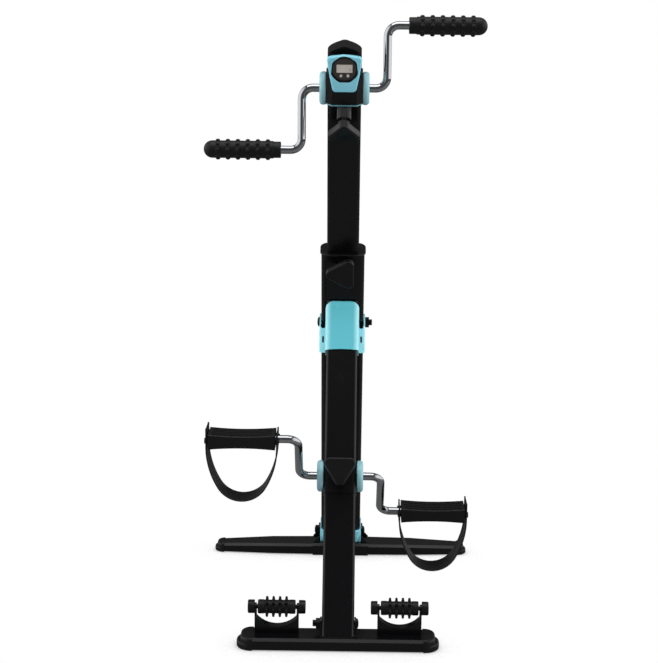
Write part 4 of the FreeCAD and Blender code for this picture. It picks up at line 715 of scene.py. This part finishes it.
def at_inner_end(node, joint, sign):
    """The transform that stands a piece made along +X outwards from a node's inner end."""
    low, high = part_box(node)
    axis = Vector(joints[joint]["pos_m"])
    inner = low.x if sign > 0 else high.x
    turn = Matrix.Rotation(0 if sign > 0 else math.pi, 4, "Z")
    return Matrix.Translation((inner, axis.y, axis.z)) @ turn


def cover_profile(width, radius):
    """Points (x, radius) from the bore over the back and front edges to the dish."""
    back, front = COVER_BACK_EDGE, COVER_EDGE
    return [
        (0, COVER_BORE),
        *arc_profile(back, radius - back, back, 180, 90, steps=6),
        *arc_profile(width - front, radius - front, front, 90, 0, steps=12),
        (width, DISH_RADIUS + DISH_DEPTH),
        (width - DISH_DEPTH, DISH_RADIUS),
        (width - DISH_DEPTH, COVER_BORE),
        (0, COVER_BORE),
    ]


def make_cover(node, sign, joint, body):
    low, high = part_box(node)
    profile = cover_profile(high.x - low.x, (high.z - low.z) / 2)
    name = node.replace("disc", "cover")
    cover = link_mesh(name, turned(name, profile, COVER_SEGMENTS, COVER_SHARP))
    cover.data.transform(at_inner_end(node, joint, sign))
    cover.data.materials.append(cover_abs)
    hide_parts(node)
    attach(cover, body)


for side, sign in SIDES:
    make_cover(f"{side}_head_disc", sign, "hand_crank_turn", "mast")
    make_cover(f"{side}_leg_disc", sign, "leg_crank_turn", "front_frame")

# %% [markdown]
# ## The console's shell
# The counter sits in a shell with a broad, gently arched top, sides that draw in to a narrow foot
# and a rounded front edge. Cutting a hole in a bevelled block would leave ragged faces round the
# dial. Here the outline is a few corners with their radii, and one skin starts at its back, goes
# round the front edge and ends in the hole for the dial.

# %% Console outline
SHELL_CORNERS_MM = [
    (-17.4, 8.2, 6.0), (17.4, 8.2, 6.0), (22.6, 34.0, 160.0), (26.9, 63.2, 5.0), (0, 66.9, 60.0),
    (-26.9, 63.2, 5.0), (-22.6, 34.0, 160.0),
]


def rounded_outline(corners, steps=8):
    """Points with their outward normals round an outline of corners (x, z, radius)."""
    outline = []
    for i, (x, z, radius) in enumerate(corners):
        here = Vector((x, z))
        before = (Vector(corners[i - 1][:2]) - here).normalized()
        after = (Vector(corners[(i + 1) % len(corners)][:2]) - here).normalized()
        half = before.angle(after) / 2
        centre = here + (before + after).normalized() * (radius / math.sin(half))
        start = (here + before * (radius / math.tan(half)) - centre).normalized()
        for k in range(steps + 1):
            turn = Matrix.Rotation((math.pi - 2 * half) * k / steps, 2)
            outline.append((centre + turn @ start * radius, turn @ start))
    return outline


shell_outline = rounded_outline([[v * MM for v in corner] for corner in SHELL_CORNERS_MM])
print("console outline", len(shell_outline), "points")

# %% Console shell
SHELL_BACK, SHELL_FRONT = 30 * MM, 37 * MM
SHELL_EDGE = 2.4 * MM
SHELL_EDGE_STEPS = 6
SHELL_SHARP = 35
DIAL_HOLE = 21.1 * MM
DIAL_CENTRE = Vector((0, 44.2 * MM))
HOLE_EDGE = 0.5 * MM
# Near the dial the front edge is narrower, so that it never takes all the room beside the hole.
EDGE_ROOM_SHARE = 0.8
slide = Vector(joints["height_slide"]["axis"])
MEMBER_LEAN = math.atan2(-slide.y, slide.z)


def shell_ring(inset, depth):
    """The outline drawn in by an inset, at a depth in front of the crank's axis."""
    ring = []
    for point, normal in shell_outline:
        room = ((point - DIAL_CENTRE).length - DIAL_HOLE - HOLE_EDGE) * EDGE_ROOM_SHARE
        moved = point - normal * min(inset, room)
        ring.append((moved.x, -depth, moved.y))
    return ring


def hole_ring(radius, depth):
    """A circle about the dial with one point for each of the outline's."""
    ring = []
    for point, _ in shell_outline:
        edge = (point - DIAL_CENTRE).normalized() * radius + DIAL_CENTRE
        ring.append((edge.x, -depth, edge.y))
    return ring


def make_shell():
    back = shell_ring(0, SHELL_BACK)
    rings = [back]
    for k in range(SHELL_EDGE_STEPS + 1):
        angle = math.pi / 2 * k / SHELL_EDGE_STEPS
        inset = SHELL_EDGE * (1 - math.cos(angle))
        rings.append(shell_ring(inset, SHELL_FRONT - SHELL_EDGE * (1 - math.sin(angle))))
    rings += [
        hole_ring(DIAL_HOLE + HOLE_EDGE, SHELL_FRONT),
        hole_ring(DIAL_HOLE, SHELL_FRONT - HOLE_EDGE),
        hole_ring(DIAL_HOLE, SHELL_BACK),
        back,
    ]
    shell = link_mesh("console_shell", skin("console_shell", rings, SHELL_SHARP))
    head = Matrix.Translation(joints["hand_crank_turn"]["pos_m"])
    shell.data.transform(head @ Matrix.Rotation(MEMBER_LEAN, 4, "X"))
    shell.data.materials.append(blue_abs)
    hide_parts("console_bezel")
    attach(shell, "mast")
    return shell


print(make_shell().name, "leans", round(math.degrees(MEMBER_LEAN), 1), "degrees")

# %% [markdown]
# ## Studded grips and rollers
# The hand grips are moulded rubber sleeves with rows of soft bumps, and the massage rollers carry
# small pointed spikes. Both are one round body with the same stud repeated in rings, so a node
# group places a ring of studs on each point of a line, sinks them a little and turns each one to
# face outwards.

# %% A node group that studs a round body


def stud_group():
    """A Geometry Nodes group that adds rings of studs round a body that lies along X."""
    group = bpy.data.node_groups.new("rings of studs", "GeometryNodeTree")
    ports = group.interface
    ports.new_socket("Geometry", in_out="INPUT", socket_type="NodeSocketGeometry")
    for name, kind in (
        ("First", "NodeSocketVector"),
        ("Pitch", "NodeSocketFloat"),
        ("Rows", "NodeSocketInt"),
        ("Around", "NodeSocketInt"),
        ("Ring Radius", "NodeSocketFloat"),
        ("Stud", "NodeSocketObject"),
        ("Finish", "NodeSocketMaterial"),
    ):
        ports.new_socket(name, in_out="INPUT", socket_type=kind)
    ports.new_socket("Geometry", in_out="OUTPUT", socket_type="NodeSocketGeometry")
    given = add(group, "NodeGroupInput").outputs
    step = add(group, "ShaderNodeCombineXYZ", {"X": given["Pitch"]})
    line = add(
        group,
        "GeometryNodeMeshLine",
        {"Count": given["Rows"], "Start Location": given["First"], "Offset": step.outputs[0]},
    )
    ring = add(
        group,
        "GeometryNodeMeshCircle",
        {"Vertices": given["Around"], "Radius": given["Ring Radius"]},
    )
    upright = add(
        group,
        "GeometryNodeTransform",
        {"Geometry": ring.outputs[0], "Rotation": (0, math.pi / 2, 0)},
    )
    stud = add(group, "GeometryNodeObjectInfo", {"Object": given["Stud"], "As Instance": True})
    place = add(group, "GeometryNodeInputPosition")
    facing = add(
        group, "FunctionNodeAlignRotationToVector", {"Vector": place.outputs[0]}, axis="Z"
    )
    studs = add(
        group,
        "GeometryNodeInstanceOnPoints",
        {
            "Points": upright.outputs[0],
            "Instance": stud.outputs["Geometry"],
            "Rotation": facing.outputs[0],
        },
    )
    rows = add(
        group,
        "GeometryNodeInstanceOnPoints",
        {"Points": line.outputs[0], "Instance": studs.outputs[0]},
    )
    joined = add(group, "GeometryNodeJoinGeometry")
    group.links.new(rows.outputs[0], joined.inputs[0])
    group.links.new(given["Geometry"], joined.inputs[0])
    solid = add(group, "GeometryNodeRealizeInstances", {"Geometry": joined.outputs[0]})
    painted = add(
        group,
        "GeometryNodeSetMaterial",
        {"Geometry": solid.outputs[0], "Material": given["Finish"]},
    )
    add(group, "NodeGroupOutput", {"Geometry": painted.outputs[0]})
    return group


rings_of_studs = stud_group()
print(rings_of_studs.name, len(rings_of_studs.nodes), "nodes")

# %% One stud, and a body with its studs
STUD_SHARP = 60
DOME_FULLNESS = 0.8


def stud_object(name, profile, segments=12):
    """A small turned stud that stands along Z, to be repeated."""
    mesh = turned(name, profile, segments, STUD_SHARP)
    mesh.transform(Matrix.Rotation(-math.pi / 2, 4, "Y"))
    return link_mesh(name, mesh)


def dome_profile(radius, height, steps=5):
    """Points (height, radius) from the foot of a rounded stud to its top."""
    points = [(0, 0)]
    for i in range(steps):
        angle = math.pi / 2 * i / steps
        points.append((height * math.sin(angle), radius * math.cos(angle) ** DOME_FULLNESS))
    return [*points, (height, 0)]


def stud(body, body_radius, first, pitch, rows, around, one_stud, finish):
    """Add rings of studs to a body and turn the result into one mesh."""
    modifier = body.modifiers.new("studs", "NODES")
    modifier.node_group = rings_of_studs
    values = {
        "First": (first, 0, 0),
        "Pitch": pitch,
        "Rows": rows,
        "Around": around,
        "Ring Radius": body_radius,
        "Stud": one_stud,
        "Finish": finish,
    }
    for item in rings_of_studs.interface.items_tree:
        if item.in_out == "INPUT" and item.name in values:
            modifier[item.identifier] = values[item.name]
    return settle(body)


# %% [markdown]
# ## The hand grips
# Each grip is a sleeve with a plain collar at its inner end and a round nose at its outer end. The
# bumps are soft domes, six rings of eight. A bump map would leave the grip's edge straight against
# the backdrop, so the bumps are real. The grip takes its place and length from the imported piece
# that it stands for, so it turns on its rod as that does.

# %% Grips
GRIP_RADIUS = 13.5 * MM
GRIP_BORE = 6.35 * MM
GRIP_END_WALL = 8 * MM
COLLAR_RADIUS = 12.6 * MM
COLLAR_LENGTH = 11 * MM
COLLAR_LIP = 0.8 * MM
NOSE_END_DEGREES = 4
NUB_RADIUS = 3.7 * MM
NUB_HEIGHT = 2.6 * MM
NUB_SUNK = 0.6 * MM
NUB_ROWS = 6
NUBS_AROUND = 8
NUB_FIRST = 20 * MM
NUB_PITCH = 15.4 * MM
nub = stud_object("grip_nub", dome_profile(NUB_RADIUS, NUB_HEIGHT + NUB_SUNK))


def grip_profile(length):
    """Points (x, radius) from the blind end of the bore, out of it and back to the round nose."""
    blind = length - GRIP_END_WALL
    return [
        (blind, 0),
        (blind, GRIP_BORE),
        (0, GRIP_BORE),
        (0, COLLAR_RADIUS - COLLAR_LIP),
        (COLLAR_LIP, COLLAR_RADIUS),
        (COLLAR_LENGTH, COLLAR_RADIUS),
        (COLLAR_LENGTH + COLLAR_LIP, GRIP_RADIUS),
        *arc_profile(length - GRIP_RADIUS, 0, GRIP_RADIUS, 90, NOSE_END_DEGREES, steps=10),
        (length, 0),
    ]


def make_grip(side, sign):
    low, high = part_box(f"{side}_grip")
    name = f"{side}_grip_sleeve"
    body = link_mesh(name, turned(name, grip_profile(high.x - low.x)))
    foot = GRIP_RADIUS - NUB_SUNK
    stud(body, foot, NUB_FIRST, NUB_PITCH, NUB_ROWS, NUBS_AROUND, nub, grip_rubber)
    body.data.transform(at_inner_end(f"{side}_grip", f"{side}_grip_spin", sign))
    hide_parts(f"{side}_grip")
    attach(body, f"{side}_grip")
    return body


for side, sign in SIDES:
    grip = make_grip(side, sign)
    print(grip.name, len(grip.data.polygons), "faces")
bpy.data.objects.remove(nub)

# %% [markdown]
# ## The massage rollers
# A roller is a rubber sleeve with four rings of pointed spikes, narrow enough to press between the
# bones of the sole. The plain bands at both ends are a little raised in a soft step. Plain cones
# would do from afar, but a turned profile gives each spike its slight waist and its blunt tip.

# %% Rollers
ROLLER_RADIUS = 11 * MM
ROLLER_BORE = 3.5 * MM
ROLLER_EDGE = 1.2 * MM
ROLLER_BAND = 9 * MM
ROLLER_STEP = 0.5 * MM
ROLLER_SEGMENTS = 40
SPIKE_ROWS = 4
SPIKES_AROUND = 8
SPIKE_PITCH = 10 * MM
SPIKE_SEGMENTS = 10
SPIKE_PROFILE_MM = [
    (0, 0), (0, 3.0), (1.8, 2.4), (3.6, 2.0), (5.6, 1.75), (6.5, 1.45), (7.0, 0.8), (7.0, 0),
]
spike_profile = [(height * MM, radius * MM) for height, radius in SPIKE_PROFILE_MM]
massage_spike = stud_object("massage_spike", spike_profile, SPIKE_SEGMENTS)


def roller_profile(half):
    """Points (x, radius) round the sleeve's wall, from one end of its bore and back to it."""
    band_end = half - ROLLER_BAND
    return [
        (-half, ROLLER_BORE),
        (-half, ROLLER_RADIUS - ROLLER_EDGE),
        (-half + ROLLER_EDGE, ROLLER_RADIUS),
        (-half + ROLLER_BAND, ROLLER_RADIUS),
        (-half + ROLLER_BAND + ROLLER_STEP, ROLLER_RADIUS - ROLLER_STEP),
        (band_end - ROLLER_STEP, ROLLER_RADIUS - ROLLER_STEP),
        (band_end, ROLLER_RADIUS),
        (half - ROLLER_EDGE, ROLLER_RADIUS),
        (half, ROLLER_RADIUS - ROLLER_EDGE),
        (half, ROLLER_BORE),
        (-half, ROLLER_BORE),
    ]


def make_roller(side):
    low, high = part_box(f"{side}_roller")
    name = f"{side}_roller_sleeve"
    profile = roller_profile((high.x - low.x) / 2)
    body = link_mesh(name, turned(name, profile, ROLLER_SEGMENTS))
    foot = ROLLER_RADIUS - ROLLER_STEP * 2
    first = -SPIKE_PITCH * (SPIKE_ROWS - 1) / 2
    stud(
        body, foot, first, SPIKE_PITCH, SPIKE_ROWS, SPIKES_AROUND, massage_spike, grip_rubber
    )
    body.data.transform(Matrix.Translation(joints[f"{side}_roller_spin"]["pos_m"]))
    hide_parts(f"{side}_roller")
    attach(body, f"{side}_roller")
    return body


for side, _ in SIDES:
    roller = make_roller(side)
    print(roller.name, len(roller.data.polygons), "faces")
bpy.data.objects.remove(massage_spike)

# %% [markdown]
# ## The foot straps
# A strap is a moulded rubber band that hooks over pegs at both ends of its pedal and hangs in a
# loop below it. It could be bent from a flat band by a curve modifier, but the place of its ends
# must be exact. So its line is worked out: straight past the pegs, then arcs that meet smoothly,
# which is what such a band does between its pegs. A cross-section with a bead along both edges is
# swept along that line, and the adjustment holes are cut through the two ends.

# %% The line of a strap
STRAP_WIDTH = 45 * MM
STRAP_THICK = 2.4 * MM
STRAP_TOP = 20 * MM
STRAP_INNER_TOP = 13.5 * MM
STRAP_ARC_START = 8 * MM
STRAP_DROP = 94 * MM
STRAP_BOTTOM_RADIUS = 42 * MM
STRAIGHT_STEPS = 10
ARC_STEPS = 14


def strap_line(half):
    """Points and outward normals (x, z) down the inner side, round the bottom and up again."""
    bottom = STRAP_BOTTOM_RADIUS
    deep = STRAP_DROP - STRAP_ARC_START - bottom
    side = (half**2 + deep**2 - bottom**2) / (2 * (half - bottom))
    centre_x = half - side
    bottom_z = -STRAP_ARC_START - deep
    meet = math.atan2(deep, -centre_x)
    inner_end, outer_end, arcs = [], [], []
    for i in range(STRAIGHT_STEPS):
        share = i / STRAIGHT_STEPS
        inner_z = STRAP_INNER_TOP - (STRAP_INNER_TOP + STRAP_ARC_START) * share
        outer_z = STRAP_TOP - (STRAP_TOP + STRAP_ARC_START) * share
        inner_end.append((half, inner_z, 1.0, 0.0))
        outer_end.append((-half, outer_z, -1.0, 0.0))
    for i in range(ARC_STEPS + 1):
        angle = meet * i / ARC_STEPS
        across, down = math.cos(angle), math.sin(angle)
        arcs.append((centre_x + side * across, -STRAP_ARC_START - side * down, across, -down))
    for i in range(1, ARC_STEPS + 1):
        angle = meet + (math.pi / 2 - meet) * i / ARC_STEPS
        across, down = math.cos(angle), math.sin(angle)
        arcs.append((bottom * across, bottom_z - bottom * down, across, -down))
    mirrored = [(-x, z, -nx, nz) for x, z, nx, nz in reversed(arcs[:-1])]
    return inner_end + arcs + mirrored + outer_end[::-1]


# %% Sweep the band
BEAD = 3.2 * MM
BEAD_CORNER = 0.7 * MM
THIN_SHARE = 0.62
STRAP_SHARP = 35


def strap_section():
    """Places across the band, each with how far its faces stand off the middle plane."""
    half, thick = STRAP_WIDTH / 2, STRAP_THICK / 2
    thin = thick * THIN_SHARE
    return [
        (-half, thick - BEAD_CORNER), (-half + BEAD_CORNER, thick), (-half + BEAD, thick),
        (-half + BEAD + BEAD_CORNER, thin), (half - BEAD - BEAD_CORNER, thin),
        (half - BEAD, thick), (half - BEAD_CORNER, thick), (half, thick - BEAD_CORNER),
    ]


def sweep_strap(name, half):
    """The band's section carried along its line, with closed ends."""
    line = strap_line(half - STRAP_THICK / 2)
    section = strap_section()
    loop = [(y, off) for y, off in section] + [(y, -off) for y, off in reversed(section)]
    rings = [[(x + nx * off, y, z + nz * off) for y, off in loop] for x, z, nx, nz in line]
    first, last = ([(x, 0, z)] for x, z, _, _ in (line[0], line[-1]))
    return link_mesh(name, skin(name, [first, *rings, last], STRAP_SHARP))


# %% Cut its holes
PEG_OFFSET = 15 * MM
PEG_HOLE = 2.9 * MM
ROD_HOLE = 7.6 * MM
HOLE_PITCH = 7.5 * MM
HOLE_SEGMENTS = 20
CUTTER_LENGTH = STRAP_THICK * 5
# Four rows of holes at the outer end and three at the inner, and row 0 is at the pedal's axis.
HOLE_ROWS = ((-1, (-1, 0, 1, 2)), (1, (-1, 0, 1)))


def hole_cutter(name, half):
    """Cylinders along X where the band's holes are: two for each row, and one for the rod."""
    shape = bmesh.new()
    turn = Matrix.Rotation(math.pi / 2, 4, "Y")
    places = []
    for end, rows in HOLE_ROWS:
        for row in rows:
            for y in (-PEG_OFFSET, PEG_OFFSET):
                places.append((end * (half - STRAP_THICK / 2), y, row * HOLE_PITCH, PEG_HOLE))
    places.append((half - STRAP_THICK / 2, 0, 0, ROD_HOLE))
    for x, y, z, radius in places:
        bmesh.ops.create_cone(
            shape, cap_ends=True, segments=HOLE_SEGMENTS, radius1=radius, radius2=radius,
            depth=CUTTER_LENGTH, matrix=Matrix.Translation((x, y, z)) @ turn,
        )
    mesh = bpy.data.meshes.new(name)
    shape.to_mesh(mesh)
    shape.free()
    cutter = link_mesh(name, mesh)
    cutter.hide_render = True
    return cutter


def make_strap(side, sign):
    low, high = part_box(f"{side}_strap")
    pivot = Vector(joints[f"{side}_pedal_swing"]["pos_m"])
    half = (high.x - low.x) / 2
    band = sweep_strap(f"{side}_foot_strap", half)
    cutter = hole_cutter(f"{side}_strap_cutter", half)
    cut = band.modifiers.new("holes", "BOOLEAN")
    cut.object = cutter
    cut.solver = "EXACT"
    settle(band)
    bpy.data.objects.remove(cutter)
    smooth(band.data, STRAP_SHARP)
    band.data.materials.clear()
    band.data.materials.append(strap_rubber)
    way = Matrix.Rotation(math.pi if sign > 0 else 0, 4, "Z")
    centre = Vector(((low.x + high.x) / 2, pivot.y, pivot.z))
    band.data.transform(Matrix.Translation(centre) @ way)
    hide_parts(f"{side}_strap")
    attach(band, f"{side}_pedal")
    return band


for side, sign in SIDES:
    strap = make_strap(side, sign)
    print(strap.name, len(strap.data.polygons), "faces")

# %% [markdown]
# ## The display's figure
# At rest the display shows a single nought. A text object would need a font, and the real display
# shows no font but seven segments, six of them dark for a nought. So the figure is six thin bars
# with pointed ends, laid on the film by its lower right corner and tilted with the console.

# %% Display figure
BAR_LENGTH = 1.3 * MM
BAR_WIDTH = 0.42 * MM
BAR_HIGH = 0.12 * MM
BAR_GAP = 0.15 * MM
# From the middle of the display's box to the figure: right, out to the film's face, and down.
FIGURE_RIGHT, FIGURE_OUT, FIGURE_DOWN = 8.4 * MM, 0.3 * MM, 1.6 * MM


def segment(shape, x, z, upright):
    """One bar of the figure, with pointed ends."""
    half, thick = BAR_LENGTH / 2, BAR_WIDTH / 2
    plan = [(-half, 0), (thick - half, -thick), (half - thick, -thick), (half, 0),
            (half - thick, thick), (thick - half, thick)]
    if upright:
        plan = [(-v, u) for u, v in plan]
    front = [shape.verts.new((x + u, -BAR_HIGH, z + v)) for u, v in plan]
    back = [shape.verts.new((x + u, 0, z + v)) for u, v in plan]
    shape.faces.new(front)
    shape.faces.new(list(reversed(back)))
    for k in range(len(plan)):
        j = (k + 1) % len(plan)
        shape.faces.new((front[k], back[k], back[j], front[j]))


def make_figure():
    shape = bmesh.new()
    reach = BAR_LENGTH / 2 + BAR_GAP
    for z in (-2 * reach, 2 * reach):
        segment(shape, 0, z, False)
    for x in (-reach, reach):
        for z in (-reach, reach):
            segment(shape, x, z, True)
    bmesh.ops.recalc_face_normals(shape, faces=shape.faces)
    mesh = bpy.data.meshes.new("display_figure")
    shape.to_mesh(mesh)
    shape.free()
    mesh.materials.append(dial_abs)
    figure = link_mesh("display_figure", mesh)
    lean = Matrix.Rotation(MEMBER_LEAN, 4, "X")
    offset = lean @ Vector((FIGURE_RIGHT, -FIGURE_OUT, -FIGURE_DOWN))
    mesh.transform(Matrix.Translation(box_middle("lcd_panel") + offset) @ lean)
    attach(figure, "mast")
    return figure


print(make_figure().name, "laid on the film")

# %% [markdown]
# ## Measure and finish
# Dressing must not change how large the machine is.

# %% Print the size of both boxes
visual_box = [list(corner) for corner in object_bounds()]
for axis, name in enumerate("xyz"):
    cad = cad_box[1][axis] - cad_box[0][axis]
    visual = visual_box[1][axis] - visual_box[0][axis]
    print(name, round(cad, 4), "m in CAD,", round(visual, 4), "m dressed")
